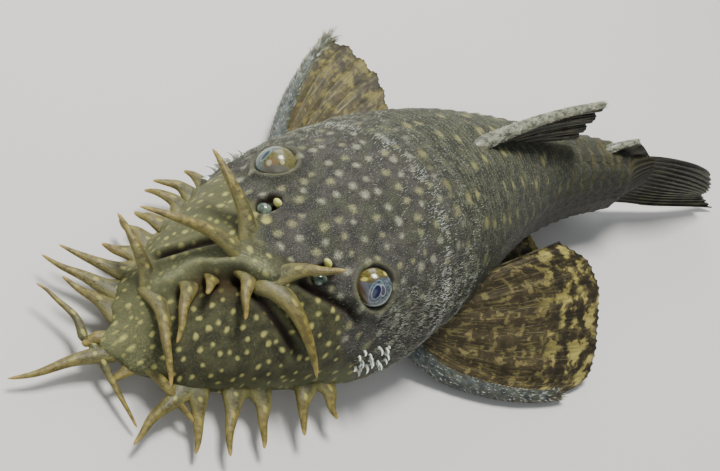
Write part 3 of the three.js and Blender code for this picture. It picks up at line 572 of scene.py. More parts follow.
def skin_point(station, angle):
    """Point on the finished skin: the smooth section plus plates, head forms and webs, no lower than
    the floor. Also returns the outward direction and the direction backwards along the skin."""
    station, angle = np.broadcast_arrays(np.asarray(station, float), np.asarray(angle, float))
    point, normal, along = skin_base(station, angle)
    upper = smooth(-0.1, 0.15, np.sin(angle))
    height = plate_relief(station, from_back(angle))
    height = height + head_relief(point, station, side_at(station, angle), upper)
    height = height * smooth(-0.2, 0.6, point[..., 2]) - drawn_in(station, angle)
    ray, shown = tail_rays(station, point[..., 2])
    height = height + TAIL_RAY_LIFT * shown * np.cos(2 * math.pi * ray)
    width = half_width(closed_earlier(station, angle)) + (station < RAYED_TAIL[0])
    height = height * smooth(0, TAIL_THINNEST, width)
    point = webs(point + normal * height[..., None])
    point[..., 2] = np.maximum(point[..., 2], 0)
    return point, normal, along


def direction_seen_from_above(degrees):
    """Level direction at an angle from +X towards +Y."""
    angle = math.radians(degrees)
    return np.array([math.cos(angle), math.sin(angle), 0.0])


def bezier(start, middle, end, t):
    """Quadratic curve: (1-t)^2 start + 2t(1-t) middle + t^2 end."""
    t = np.asarray(t, float)[..., None]
    return (1 - t) ** 2 * start + 2 * t * (1 - t) * middle + t**2 * end


def bent(start, degrees, length, lift, curl):
    """Ends and middle of a curve that leaves start in a direction, droops a little and curls sideways."""
    direction = direction_seen_from_above(degrees)
    sideways = np.array([-direction[1], direction[0], 0.0])
    end = start + direction * length
    end[2] = max(start[2] + lift - 0.12 * length, TENTACLE_FLOOR)
    middle = (start + end) / 2 + sideways * curl
    middle[2] = max(middle[2] + 0.5, TENTACLE_FLOOR)
    return start, middle, end


def tentacle_curves():
    """The curve and root radius of every tentacle: margin, forks, top of the snout."""
    curves = []
    for station, side, length, degrees, lift, curl, root in EDGE_TENTACLES:
        at = place(station, side * half_width(station), through(WIDEST_HEIGHT, station))
        start = at - direction_seen_from_above(degrees) * TENTACLE_SINK
        curves.append((bent(start, degrees, length + TENTACLE_SINK, lift, curl), root))
    for number, at, length, degrees, lift, curl in FORKS:
        stem, root = curves[number]
        start = bezier(*stem, at)
        curves.append((bent(start, degrees, length, lift, curl), root * FORK_ROOT))
    for station, offset, tip, arch, root in TOP_TENTACLES:
        root_place = place(station, offset, skin_height(station, offset))
        end = place(*tip)
        level = unit((end - root_place) * np.array([1, 1, 0]))
        start = root_place - level * TOP_LEAD
        start[2] -= TOP_SINK
        middle = root_place + (end - root_place) * 0.42
        middle[2] += arch
        curves.append(((start, middle, end), root))
    return curves


def tentacle_roots():
    """Where each tentacle but the forks leaves the skin, its direction there, its root radius and how
    strongly it pulls the skin along."""
    roots = []
    for number, ((start, middle, _), root) in enumerate(tentacle_curves()):
        if len(EDGE_TENTACLES) <= number < len(EDGE_TENTACLES) + len(FORKS):
            continue
        direction = unit(middle - start)
        on_top = number >= len(EDGE_TENTACLES)
        pull = TOP_PULL if on_top else WEB_PULL
        depth = TOP_BURIED if on_top else TENTACLE_SINK
        roots.append((start + direction * depth, direction, root, pull))
    return roots


# Mesh helpers

def grid_quads(rows, columns, wrap):
    """Corner numbers of the quads of a grid, and the numbers of the same corners in a grid that has a
    column more, for maps that must not wrap."""
    row = np.arange(rows - 1)[:, None]
    steps = columns if wrap else columns - 1
    column = np.arange(steps)[None, :]
    after = (column + 1) % columns
    quads = np.stack([row * columns + column, row * columns + after,
                      (row + 1) * columns + after, (row + 1) * columns + column], axis=-1).reshape(-1, 4)
    wide = columns + 1 if wrap else columns
    corners = np.stack([row * wide + column, row * wide + column + 1,
                        (row + 1) * wide + column + 1, (row + 1) * wide + column], axis=-1).reshape(-1, 4)
    return quads, corners


def tube(rings, maps):
    """A closed tube from an array of rings: quads between rings and a fan to the middle of each end.
    maps holds one value pair per ring and column, with one more column than the rings have."""
    rows, columns = rings.shape[:2]
    points = rings.reshape(-1, 3)
    quads, corners = grid_quads(rows, columns, True)
    ends = np.stack([rings[0].mean(axis=0), rings[-1].mean(axis=0)])
    column = np.arange(columns)
    after = (column + 1) % columns
    first = np.stack([np.full(columns, len(points)), after, column], axis=-1)
    base = (rows - 1) * columns
    last = np.stack([np.full(columns, len(points) + 1), base + column, base + after], axis=-1)
    flat = {name: value.reshape(-1, value.shape[-1]) for name, value in maps.items()}
    wide = columns + 1
    first_corners = np.stack([column, column + 1, column], axis=-1)
    last_base = (rows - 1) * wide
    last_corners = np.stack([last_base + column, last_base + column, last_base + column + 1], axis=-1)
    corner_numbers = np.concatenate([corners.ravel(), first_corners.ravel(), last_corners.ravel()])
    shape = dict(points=np.concatenate([points, ends]), faces=[quads, np.concatenate([first, last])],
                 maps={name: value[corner_numbers] for name, value in flat.items()})
    return facing_out(shape)


def volume(shape):
    """Six times the signed volume: positive where the faces point outwards."""
    total = 0.0
    points = shape["points"] - shape["points"].mean(axis=0)
    for faces in shape["faces"]:
        for k in range(1, faces.shape[1] - 1):
            a, b, c = points[faces[:, 0]], points[faces[:, k]], points[faces[:, k + 1]]
            total += np.sum(a * np.cross(b, c))
    return total


def turned_over(shape):
    """The same shape with every face, and the maps' corners with it, in the other order."""
    used = 0
    maps = {name: [] for name in shape["maps"]}
    for faces in shape["faces"]:
        for name, value in shape["maps"].items():
            part = value[used:used + faces.size].reshape(len(faces), faces.shape[1], -1)
            maps[name].append(part[:, ::-1].reshape(faces.size, -1))
        used += faces.size
    shape["faces"] = [faces[:, ::-1] for faces in shape["faces"]]
    shape["maps"] = {name: np.concatenate(parts) for name, parts in maps.items()}
    return shape


def facing_out(shape):
    """The shape with its faces pointing outwards."""
    return shape if volume(shape) > 0 else turned_over(shape)


def together(shapes):
    """Several shapes as one: each keeps its own points, faces and map corners."""
    offset = 0
    points = []
    faces = []
    names = shapes[0]["maps"].keys()
    maps = {name: [] for name in names}
    for shape in shapes:
        points.append(shape["points"])
        faces.extend(part + offset for part in shape["faces"])
        for name in names:
            maps[name].append(shape["maps"][name])
        offset += len(shape["points"])
    return dict(points=np.concatenate(points), faces=faces,
                maps={name: np.concatenate(parts) for name, parts in maps.items()})


def piece(name, shape, material, replaced=(), marks=None, rounded=True):
    """Puts a shape into a mesh in metres, with its maps as UV maps and its marks as point attributes,
    and lets it ride on the body."""
    mesh = bpy.data.meshes.new(name)
    corners = []
    for faces in shape["faces"]:
        corners.extend(faces.tolist())
    mesh.from_pydata((shape["points"] * MM).tolist(), [], corners)
    for map_name, value in shape["maps"].items():
        layer = mesh.uv_layers.new(name=map_name)
        layer.data.foreach_set("uv", np.ascontiguousarray(value, dtype=np.float32).ravel())
    for mark, value in (marks or {}).items():
        layer = mesh.attributes.new(mark, "FLOAT", "POINT")
        layer.data.foreach_set("value", np.ascontiguousarray(value, dtype=np.float32).ravel())
    mesh.polygons.foreach_set("use_smooth", np.full(len(mesh.polygons), rounded))
    mesh.materials.append(material)
    made = bpy.data.objects.new(name, mesh)
    bpy.context.scene.collection.objects.link(made)
    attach(made, "root")
    if replaced:
        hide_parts(*replaced)


def swept(path, radii, around, up=(0, 0, 1), flatness=1.0):
    """Rings of a tapered tube along a path of points, kept just above the floor, its map, which is the
    distance round from the top and the distance along in millimetres, and both as shares."""
    along = unit(np.gradient(path, axis=0))
    across = np.cross(np.asarray(up, float), along)
    weak = np.linalg.norm(across, axis=1) < 0.05
    across[weak] = (1, 0, 0)
    across = unit(across)
    top = np.cross(along, across)
    angle = np.linspace(0, 2 * math.pi, around + 1)
    radii = np.asarray(radii, float)
    sideways = across[:, None] * np.sin(angle[:-1])[None, :, None]
    flatness = np.broadcast_to(flatness, radii.shape)[:, None]
    upwards = top[:, None] * (flatness * np.cos(angle[:-1])[None, :])[..., None]
    rings = path[:, None] + (sideways + upwards) * radii[:, None, None]
    rings[..., 2] = np.maximum(rings[..., 2], CLEARANCE)
    gone = np.concatenate([[0], np.cumsum(np.linalg.norm(np.diff(path, axis=0), axis=1))])
    around_gap = np.mod(angle + math.pi, 2 * math.pi) - math.pi
    around_gap[-1] = 0 if around_gap[-1] > 0 else around_gap[-1]
    surface = np.stack(np.broadcast_arrays(radii[:, None] * around_gap[None, :], gone[:, None]), axis=-1)
    turned = np.linspace(0, 1, around + 1)[None, :]
    share = np.stack(np.broadcast_arrays(turned, (gone / gone[-1])[:, None]), axis=-1)
    return rings, surface, share


def packed_strips(number, count, share):
    """Places strip number of count in its own part of the bake map."""
    columns = int(math.ceil(math.sqrt(count)))
    column = number % columns
    row = number // columns
    cell = 1 / columns
    return (share * 0.94 + 0.03) * cell + np.array([column, row]) * cell


# Materials

def group(name, inputs, outputs):
    """An empty node group with the given sockets and its input and output nodes."""
    tree = bpy.data.node_groups.new(name, "ShaderNodeTree")
    for label, kind, default in inputs:
        socket = tree.interface.new_socket(label, in_out="INPUT", socket_type=kind)
        if default is not None:
            socket.default_value = default
    for label, kind in outputs:
        tree.interface.new_socket(label, in_out="OUTPUT", socket_type=kind)
    return tree, tree.nodes.new("NodeGroupInput"), tree.nodes.new("NodeGroupOutput")


def node(tree, kind, settings=None, **inputs):
    """Adds a shader node of a kind. Inputs are given by socket name, with _ for a space, or as i0, i1 by
    number, and hold a value or another node's socket."""
    made = tree.nodes.new("ShaderNode" + kind)
    for key, value in (settings or {}).items():
        setattr(made, key, value)
    for key, value in inputs.items():
        if key[0] == "i" and key[1:].isdigit():
            socket = made.inputs[int(key[1:])]
        else:
            socket = made.inputs[key.replace("_", " ")]
        if isinstance(value, bpy.types.NodeSocket):
            tree.links.new(value, socket)
        else:
            socket.default_value = value
    return made


def tree_of(*values):
    """The node tree of the first socket among the values."""
    return next(value.id_data for value in values if isinstance(value, bpy.types.NodeSocket))


def maths(operation, first, second=0.0, third=0.0):
    tree = tree_of(first, second, third)
    made = node(tree, "Math", {"operation": operation}, i0=first, i1=second, i2=third)
    return made.outputs[0]


def times(first, second):
    return maths("MULTIPLY", first, second)


def plus(first, second):
    return maths("ADD", first, second)


def minus(first, second):
    return maths("SUBTRACT", first, second)


def rest_of(share):
    """1 minus the share."""
    return maths("SUBTRACT", 1.0, share)


def scaled(value, size, offset):
    """The value times size plus offset."""
    return maths("MULTIPLY_ADD", value, size, offset)


def size_of(value):
    """The value without its sign."""
    return maths("ABSOLUTE", value)


def fade(value, low, high):
    """0 where value is below low, 1 above high, smooth between; high may be below low."""
    made = node(tree_of(value), "MapRange", {"interpolation_type": "SMOOTHSTEP", "clamp": True},
                Value=value, From_Min=low, From_Max=high)
    return made.outputs["Result"]


def mixed(share, first, second):
    """The first colour where the share is 0, the second where it is 1."""
    tree = tree_of(share, first, second)
    made = tree.nodes.new("ShaderNodeMix")
    made.data_type = "RGBA"
    made.clamp_factor = True
    for number, value in ((0, share), (6, first), (7, second)):
        if isinstance(value, bpy.types.NodeSocket):
            tree.links.new(value, made.inputs[number])
        elif number and len(value) == 3:
            made.inputs[number].default_value = (*value, 1)
        else:
            made.inputs[number].default_value = value
    return made.outputs[2]


def noise(vector, scale, detail):
    """Cloudy values round one half, in space."""
    made = node(tree_of(vector), "TexNoise", Vector=vector, Scale=scale, Detail=detail)
    return made.outputs["Fac"]


def clouds(vector, scale, detail=3, roughness=0.6):
    """Cloudy values round one half on a flat map."""
    made = node(tree_of(vector), "TexNoise", {"noise_dimensions": "2D"}, Vector=vector,
                Scale=scale, Detail=detail, Roughness=roughness)
    return made.outputs["Fac"]


def spots_group():
    """Round spots, one in each cell of a loose pattern: a spot is where the distance to the cell's point
    is under the radius, which varies from cell to cell."""
    tree, into, out = group("scattered spots", [("Vector", "NodeSocketVector", None),
                                                ("Spacing", "NodeSocketFloat", 2.0),
                                                ("Radius", "NodeSocketFloat", 0.4),
                                                ("Softness", "NodeSocketFloat", 0.15),
                                                ("Looseness", "NodeSocketFloat", 0.6)],
                            [("Spot", "NodeSocketFloat"), ("Distance", "NodeSocketFloat"),
                             ("Chance", "NodeSocketFloat")])
    scale = maths("DIVIDE", 1.0, into.outputs["Spacing"])
    cells = node(tree, "TexVoronoi", {"voronoi_dimensions": "2D", "feature": "F1"},
                 Vector=into.outputs["Vector"], Scale=scale, Randomness=into.outputs["Looseness"])
    far = times(cells.outputs["Distance"], into.outputs["Spacing"])
    split = node(tree, "SeparateColor", Color=cells.outputs["Color"])
    size = scaled(split.outputs[0], 0.5, 0.72)
    radius = times(into.outputs["Radius"], size)
    low = minus(radius, into.outputs["Softness"])
    high = plus(radius, into.outputs["Softness"])
    tree.links.new(fade(far, high, low), out.inputs["Spot"])
    tree.links.new(far, out.inputs["Distance"])
    tree.links.new(split.outputs[1], out.inputs["Chance"])
    return tree


SPOTS = spots_group()


def dotted(vector, spacing, radius, softness, looseness):
    """The scattered spots with a material's own values. Its outputs are Spot, Distance and Chance."""
    return node(tree_of(vector), "Group", {"node_tree": SPOTS}, Vector=vector, Spacing=spacing,
                Radius=radius, Softness=softness, Looseness=looseness)


def new_material(name, **constants):
    """A material with its node tree and its Principled BSDF, which takes the constants."""
    made = bpy.data.materials.new(name)
    made.use_nodes = True
    tree = made.node_tree
    shader = tree.nodes["Principled BSDF"]
    for key, value in constants.items():
        shader.inputs[key.replace("_", " ")].default_value = value
    return made, tree, shader


def painted(shader, colour):
    shader.id_data.links.new(colour, shader.inputs["Base Color"])


def two_tones(share, first, second, low=0.35, high=0.65):
    """The first colour where the share is under low, the second where it is over high."""
    return mixed(fade(share, low, high), first, second)


def bumped(shader, height, distance):
    """Fine relief in the material: height times distance, in metres."""
    tree = shader.id_data
    bump = node(tree, "Bump", Height=height, Distance=distance)
    tree.links.new(bump.outputs["Normal"], shader.inputs["Normal"])


def object_place(tree):
    """Places in space, in metres."""
    return node(tree, "TexCoord").outputs["Object"]


def mapped(tree, map_name):
    """Places on the piece's map of the given name."""
    return node(tree, "UVMap", {"uv_map": map_name}).outputs["UV"]


def marked(tree, name):
    """The piece's point values of the given name."""
    return node(tree, "Attribute", {"attribute_name": name}).outputs["Fac"]


def split_vector(vector):
    made = node(tree_of(vector), "SeparateXYZ", Vector=vector)
    return made.outputs[0], made.outputs[1]


def joined_vector(x, y):
    return node(tree_of(x, y), "CombineXYZ", X=x, Y=y).outputs[0]


def skin_grounds(tree, vector, naked, trunk, tail, fine):
    """The mottled grounds of snout, bony head, trunk and tail, faded into each other."""
    mottle = clouds(vector, 0.55, 4)
    snout = mixed(fade(mottle, 0.35, 0.68), SNOUT_DARK, SNOUT_SKIN)
    snout = mixed(times(fade(fine, 0.5, 0.8), 0.35), snout, SNOUT_PALE)
    # The far half's paler tone is partly painted light
    snout = mixed(times(marked(tree, "far"), 0.58), snout, SNOUT_FAR)
    front_share = scaled(fade(fine, 0.38, 0.66), 0.6, 0.12)
    snout = mixed(times(marked(tree, "front"), front_share), snout, SNOUT_FAR)
    patches = fade(clouds(vector, 0.24, 2, 0.5), 0.42, 0.6)
    head = mixed(patches, HEAD_SKIN, HEAD_OLIVE)
    head = mixed(fade(mottle, 0.3, 0.66), HEAD_DARK, head)
    body = mixed(fade(mottle, 0.42, 0.62), TRUNK_DARK, TRUNK_SKIN)
    rear = mixed(fade(mottle, 0.4, 0.7), TRUNK_DARK, TAIL_SKIN)
    base = mixed(naked, head, snout)
    base = mixed(trunk, base, body)
    return mixed(tail, base, rear)


def skin_spots(tree, vector, base, naked, trunk, tail):
    """Small and larger yellow dots on the snout, cream and yellow ones on the bony head, longer spots on
    the trunk and upright bars on the tail."""
    along, around = split_vector(vector)
    wobble = node(tree, "TexNoise", {"noise_dimensions": "2D"}, Vector=vector, Scale=0.8)
    shifted = node(tree, "VectorMath", {"operation": "SCALE"}, i0=wobble.outputs["Color"], Scale=0.5)
    loose = node(tree, "VectorMath", {"operation": "ADD"}, i0=vector, i1=shifted.outputs[0]).outputs[0]
    small_dots = dotted(loose, 0.95, 0.13, 0.12, 0.9)
    small_place = times(plus(marked(tree, "far"), marked(tree, "front")), naked)
    small_share = times(fade(small_dots.outputs["Chance"], 0.35, 0.75), small_place)
    base = mixed(times(small_dots.outputs["Spot"], small_share), base, SNOUT_SMALL_DOT)
    snout_dots = dotted(loose, 1.72, 0.25, 0.2, 0.6)
    base = mixed(times(snout_dots.outputs["Spot"], naked), base, SNOUT_DOT)
    ragged = scaled(clouds(vector, 5.0, 3, 0.7), 0.75, 0.0)
    head_dots = dotted(loose, 2.15, ragged, 0.3, 0.6)
    bony = times(rest_of(naked), rest_of(trunk))
    speckled = scaled(fade(clouds(vector, 5.5, 2), 0.4, 0.6), 0.6, 0.4)
    dot_share = times(times(head_dots.outputs["Spot"], bony), speckled)
    dot_colour = two_tones(head_dots.outputs["Chance"], HEAD_DOT, HEAD_YELLOW_DOT, 0.45, 0.55)
    base = mixed(dot_share, base, dot_colour)
    body_dots = dotted(joined_vector(along, times(around, 0.6)), 2.5, ragged, 0.25, 0.85)
    kept = fade(body_dots.outputs["Chance"], 0.25, 0.5)
    flank = times(trunk, rest_of(tail))
    body_share = times(times(body_dots.outputs["Spot"], kept), flank)
    base = mixed(times(body_share, 0.85), base, TRUNK_DOT)
    bars = dotted(joined_vector(along, times(around, 0.24)), 1.45, ragged, 0.34, 0.9)
    return mixed(times(times(bars.outputs["Spot"], tail), 0.7), base, TAIL_DOT)


def skin_flecks(tree, vector, base, naked, trunk, tail):
    """Pale flecks, more of them near the plates' edges, and fine upright rows of flecks behind the head:
    partly the odontodes' own pale colour, partly painted glints.
    """
    along, around = split_vector(vector)
    flecks = fade(clouds(vector, 6.5, 2, 0.7), 0.55, 0.7)
    fleck_share = times(scaled(marked(tree, "comb"), 0.5, 0.3), scaled(naked, -0.75, 1.0))
    base = mixed(times(flecks, fleck_share), base, FLECK_AND_GLINT)
    row_wave = maths("SINE", scaled(clouds(vector, 1.2, 2, 0.5), 5.0, times(along, 10.1)))
    grains = clouds(joined_vector(times(along, 1.5), times(around, 4.0)), 1.0, 2)
    row_share = times(fade(row_wave, 0.1, 0.95), fade(grains, 0.42, 0.66))
    row_strength = times(trunk, scaled(tail, -0.5, 0.6))
    return mixed(times(row_share, row_strength), base, ROW_FLECK_AND_GLINT)


def skin_forms(tree, base):
    """Colours that belong to forms: the streaked crest of the snout's fold and the brown beside it, darkened
    by painted shade, a yellow spot at each nostril, pale edges, painted shade in the hollows, the tail's
    rays, painted shade on the lower flank and the pale belly."""
    crest = marked(tree, "crest")
    base = mixed(times(crest, 0.45), base, CREST_PALE)
    streak_vector = joined_vector(times(marked(tree, "fold_gap"), 5.0), marked(tree, "fold_share"))
    streaks = fade(clouds(streak_vector, 1.0), 0.5, 0.68)
    base = mixed(times(times(streaks, crest), 0.6), base, CREST_STREAK)
    # brown is partly painted shade in the hollow beside the fold; hollow is painted shade
    for mark, colour in (("brown", SNOUT_BROWN_AND_SHADE), ("spot", SNOUT_DOT), ("edge", SNOUT_PALE),
                         ("hollow", HOLLOW_SHADE)):
        base = mixed(marked(tree, mark), base, colour)
    between = fade(maths("PINGPONG", marked(tree, "ray"), 0.5), 0.12, 0.34)
    rays = mixed(between, RAY_COLOUR, MEMBRANE_COLOUR)
    base = mixed(marked(tree, "rayed"), base, rays)
    base = mixed(times(marked(tree, "shade"), 0.76), base, FLANK_SHADE)
    return mixed(marked(tree, "above"), BELLY_SKIN, base)


def skin_material():
    """Body skin: olive snout with yellow dots, grey-brown bony head with cream dots, slate trunk with
    paler long spots, olive tail with upright bars, pale belly."""
    made, tree, shader = new_material("plated wet skin", Roughness=0.5, Specular_IOR_Level=0.28,
                                      Subsurface_Weight=0.06, Subsurface_Scale=0.0006)
    vector = mapped(tree, "Skin")
    along = split_vector(vector)[0]
    naked = marked(tree, "naked")
    tail = fade(along, 60, 84)
    trunk = fade(along, 34, 44)
    fine = clouds(vector, 3.2)
    base = skin_grounds(tree, vector, naked, trunk, tail, fine)
    base = skin_spots(tree, vector, base, naked, trunk, tail)
    base = skin_flecks(tree, vector, base, naked, trunk, tail)
    painted(shader, skin_forms(tree, base))
    tree.links.new(scaled(fine, 0.3, 0.38), shader.inputs["Roughness"])
    bumped(shader, plus(clouds(vector, 9.0, 3, 0.65), times(fine, 0.7)), 0.00012)
    return made


def tentacle_material():
    """Fleshy tentacle: the snout's olive at the root, golden brown towards the tip, pale along its thin
    edges, with yellow dots in a row along the top."""
    made, tree, shader = new_material("tentacle flesh", Roughness=0.5, Coat_Weight=0.12, Coat_Roughness=0.3,
                                      Subsurface_Weight=0.18, Subsurface_Scale=0.0008)
    vector = mapped(tree, "Surface")
    around, along = split_vector(vector)
    reach = marked(tree, "reach")
    mottle = clouds(vector, 1.1)
    root = two_tones(mottle, (0.056, 0.056, 0.018), (0.115, 0.112, 0.040))
    tip = two_tones(mottle, (0.11, 0.084, 0.012), (0.22, 0.18, 0.034))
    base = mixed(fade(reach, 0.15, 0.75), root, tip)
    drift = scaled(clouds(vector, 0.35, 1, 0.5), 1.6, 0.0)
    cell = maths("PINGPONG", plus(along, drift), 1.2)
    square = plus(maths("POWER", times(cell, 0.8), 2.0), maths("POWER", size_of(around), 2.0))
    dots = fade(square, 0.11, 0.01)
    rim = fade(size_of(around), 0.45, 1.1)
    base = mixed(times(rim, 0.5), base, (0.25, 0.22, 0.060))
    dot_share = scaled(fade(reach, 0.75, 0.3), 0.55, 0.2)
    base = mixed(times(dots, dot_share), base, (0.42, 0.375, 0.075))
    base = mixed(fade(reach, 0.86, 1.0), base, (0.40, 0.29, 0.07))
    painted(shader, base)
    bumped(shader, clouds(vector, 4.0), 0.00012)
    return made


def bristle_material(name, low, high):
    """Odontodes: tiny glassy teeth in two tones."""
    made, tree, shader = new_material(name, Roughness=0.3, Coat_Weight=0.4, Coat_Roughness=0.1,
                                      Subsurface_Weight=0.1, Subsurface_Scale=0.0003)
    where = object_place(tree)
    warmth = noise(where, 900.0, 2)
    base = mixed(fade(warmth, 0.35, 0.7), low, high)
    painted(shader, base)
    return made


def fin_material(name, dark, ochre, margin_colour, gloss):
    """Fin membrane: dark brown with fine lighter streaks and ochre blotches that follow the rays, and
    larger pale and dark blotches towards the margin. The map holds the ray number and the distance
    along."""
    made, tree, shader = new_material(name, Roughness=0.52, Coat_Weight=gloss, Coat_Roughness=0.25,
                                      Specular_IOR_Level=0.3)
    vector = mapped(tree, "Surface")
    across, along = split_vector(vector)
    reach = marked(tree, "reach")
    mottle = clouds(vector, 0.7, 4, 0.65)
    base = two_tones(mottle, dark, tuple(1.7 * c for c in dark))
    streak_vector = joined_vector(times(across, 8.0), times(along, 0.3))
    streaks = clouds(streak_vector, 1.0)
    base = mixed(times(fade(streaks, 0.52, 0.68), 0.45), base, ochre)
    patch_vector = joined_vector(times(across, 2.6), times(along, 0.62))
    patches = clouds(patch_vector, 1.0)
    base = mixed(times(fade(patches, 0.53, 0.66), 0.85), base, ochre)
    blotch_vector = joined_vector(times(across, 2.2), times(along, 0.6))
    blotch = clouds(blotch_vector, 0.75)
    margin = fade(reach, 0.58, 0.85)
    dark_share = times(fade(blotch, 0.49, 0.6), margin)
    base = mixed(times(dark_share, 0.85), base, tuple(0.45 * c for c in dark))
    pale_share = times(fade(blotch, 0.49, 0.36), margin)
    pale = two_tones(streaks, tuple(0.6 * c for c in margin_colour), margin_colour, 0.3, 0.7)
    base = mixed(times(pale_share, 0.85), base, pale)
    painted(shader, base)
    bumped(shader, streaks, 0.00012)
    return made


def ray_material(name, dark, pale, gloss=0.3):
    """Fin ray: bony segments along its length, with dark and ochre patches."""
    made, tree, shader = new_material(name, Roughness=0.5 - 0.45 * gloss, Coat_Weight=gloss,
                                      Coat_Roughness=0.2, Subsurface_Weight=0.1, Subsurface_Scale=0.0005)
    along = split_vector(mapped(tree, "Surface"))[1]
    where = object_place(tree)
    patches = noise(where, 420.0, 2)
    base = mixed(fade(patches, 0.42, 0.6), dark, pale)
    painted(shader, base)
    joints = maths("PINGPONG", along, 0.45)
    bumped(shader, fade(joints, 0.0, 0.12), 0.00005)
    return made


def spine_material(name, low, high, dot_share):
    """Leading spines: skin over bone in two tones, with dark spots of the given strength."""
    made, tree, shader = new_material(name, Roughness=0.38, Coat_Weight=0.3, Coat_Roughness=0.18)
    vector = mapped(tree, "Surface")
    mottle = clouds(vector, 1.0)
    base = two_tones(mottle, low, high)
    dots = dotted(vector, 1.7, 0.42, 0.15, 0.8)
    base = mixed(times(dots.outputs["Spot"], dot_share), base, (0.010, 0.016, 0.026))
    painted(shader, base)
    bumped(shader, clouds(vector, 6.0), 0.00012)
    return made


def oval_gap(fore, out, centre, radii, turn):
    """1 on the outline of a turned oval, less inside, more outside."""
    x = minus(fore, centre[0])
    y = minus(out, centre[1])
    cos, sin = math.cos(turn), math.sin(turn)
    long = plus(times(x, cos / radii[0]), times(y, sin / radii[0]))
    short = minus(times(y, cos / radii[1]), times(x, sin / radii[1]))
    total = plus(times(long, long), times(short, short))
    return maths("SQRT", total)


def line_at(value, place_, width):
    """1 where the value is at the place, falling to 0 a width away."""
    return fade(size_of(minus(value, place_)), width, 0.0)


def below_zero(value, size):
    """How far a value lies below zero, times a size."""
    return times(maths("MAXIMUM", times(value, -1.0), 0.0), size)


def near_eye_material():
    """Left eye: oval navy pupil with a thin bright outline and a purplish second oval behind it, blue-grey
    clear part, brown front, olive-gold iris flap with two yellow spots on the inner side, and a thin pale
    rim on the outer side. The map is millimetres forwards and outwards from the eyeball's pole."""
    made, tree, shader = new_material("left eye", Roughness=0.2, Coat_Weight=0.45, Coat_Roughness=0.05)
    vector = mapped(tree, "Eye")
    fore, out = split_vector(vector)
    streaks = clouds(vector, 2.6, 3, 0.65)
    base = mixed(fade(streaks, 0.35, 0.7), (0.030, 0.050, 0.065), (0.13, 0.17, 0.19))
    base = mixed(fade(fore, 1.7, 2.2), base, (0.11, 0.105, 0.13))
    base = mixed(fade(fore, 2.3, 2.75), base, (0.085, 0.060, 0.024))
    pupil = oval_gap(fore, out, (1.27, 0.52), (0.80, 0.47), 0.93)
    base = mixed(line_at(pupil, 1.75, 0.16), base, (0.16, 0.22, 0.25))
    second = oval_gap(fore, out, (0.50, 0.62), (0.62, 0.36), 1.5)
    base = mixed(fade(second, 1.0, 0.8), base, (0.075, 0.060, 0.085))
    base = mixed(line_at(second, 1.05, 0.22), base, (0.34, 0.38, 0.42))
    base = mixed(fade(pupil, 1.1, 0.9), base, (0.004, 0.009, 0.050))
    ring = times(line_at(pupil, 1.12, 0.16), 0.8)
    base = mixed(ring, base, (0.28, 0.35, 0.44))
    behind = below_zero(fore, 0.28)
    ahead = below_zero(minus(1.7, fore), 1.2)
    slope = plus(minus(plus(out, 0.7), behind), ahead)
    wave = times(maths("SINE", times(fore, 4.0)), 0.08)
    flap = fade(plus(slope, wave), 0.1, -0.1)
    gold = mixed(fade(streaks, 0.35, 0.7), (0.085, 0.072, 0.012), (0.17, 0.145, 0.028))
    flap_colour = mixed(fade(slope, -0.5, 0.0), gold, (0.075, 0.060, 0.045))
    for place_, radii, turn in (((1.92, -1.53), (0.44, 0.3), 2.6), ((-1.01, -1.05), (0.42, 0.3), 0.5)):
        spot = oval_gap(fore, out, place_, radii, turn)
        flap_colour = mixed(fade(spot, 1.25, 0.6), flap_colour, (0.48, 0.43, 0.11))
    base = mixed(flap, base, flap_colour)
    whole = oval_gap(fore, out, (1.2, 0.0), (1.0, 1.0), 0.0)
    pale = times(line_at(whole, 2.42, 0.16), fade(out, 0.5, 1.3))
    base = mixed(pale, base, (0.34, 0.40, 0.36))
    # Near black outside the visible disc: painted shade where the eyeball sinks into its socket
    base = mixed(fade(whole, 2.55, 2.75), base, (0.006, 0.006, 0.006))
    painted(shader, base)
    return made


def far_eye_material():
    """Right eye, whose front half faces up the slope: long dark blue pupil in a teal field on the outer
    side, olive-gold behind, grey in front, and two cream spots with orange-brown between them."""
    made, tree, shader = new_material("right eye", Roughness=0.25, Coat_Weight=0.3, Coat_Roughness=0.08)
    vector = mapped(tree, "Eye")
    fore, out = split_vector(vector)
    streaks = clouds(vector, 2.6, 3, 0.65)
    base = mixed(fade(streaks, 0.35, 0.7), (0.085, 0.080, 0.016), (0.17, 0.155, 0.035))
    orange = oval_gap(fore, out, (1.75, -1.05), (0.75, 0.45), 2.3)
    base = mixed(fade(orange, 1.3, 0.4), base, (0.20, 0.125, 0.055))
    ripples = maths("SINE", times(plus(fore, times(out, -1.0)), 16.0))
    grey = mixed(fade(ripples, -0.6, 0.9), (0.125, 0.120, 0.100), (0.145, 0.140, 0.120))
    slope = minus(times(fore, 0.69), times(out, 0.72))
    front = maths("MAXIMUM", fade(slope, 2.05, 2.35), fade(fore, 2.5, 2.9))
    base = mixed(front, base, grey)
    teal = mixed(fade(streaks, 0.35, 0.7), (0.055, 0.10, 0.11), (0.16, 0.24, 0.24))
    base = mixed(fade(out, 0.1, 0.45), base, teal)
    pupil = oval_gap(fore, out, (1.5, 0.72), (0.74, 0.34), 0.1)
    base = mixed(line_at(pupil, 1.25, 0.3), base, (0.20, 0.32, 0.33))
    base = mixed(fade(pupil, 1.1, 0.8), base, (0.010, 0.045, 0.075))
    for place_, radius in (((2.15, -0.5), 0.42), ((0.89, -1.7), 0.32)):
        spot = oval_gap(fore, out, place_, (radius, radius), 0.0)
        base = mixed(fade(spot, 1.15, 0.6), base, (0.52, 0.46, 0.27))
    base = mixed(0.25, base, (0.17, 0.16, 0.10))
    painted(shader, base)
    return made


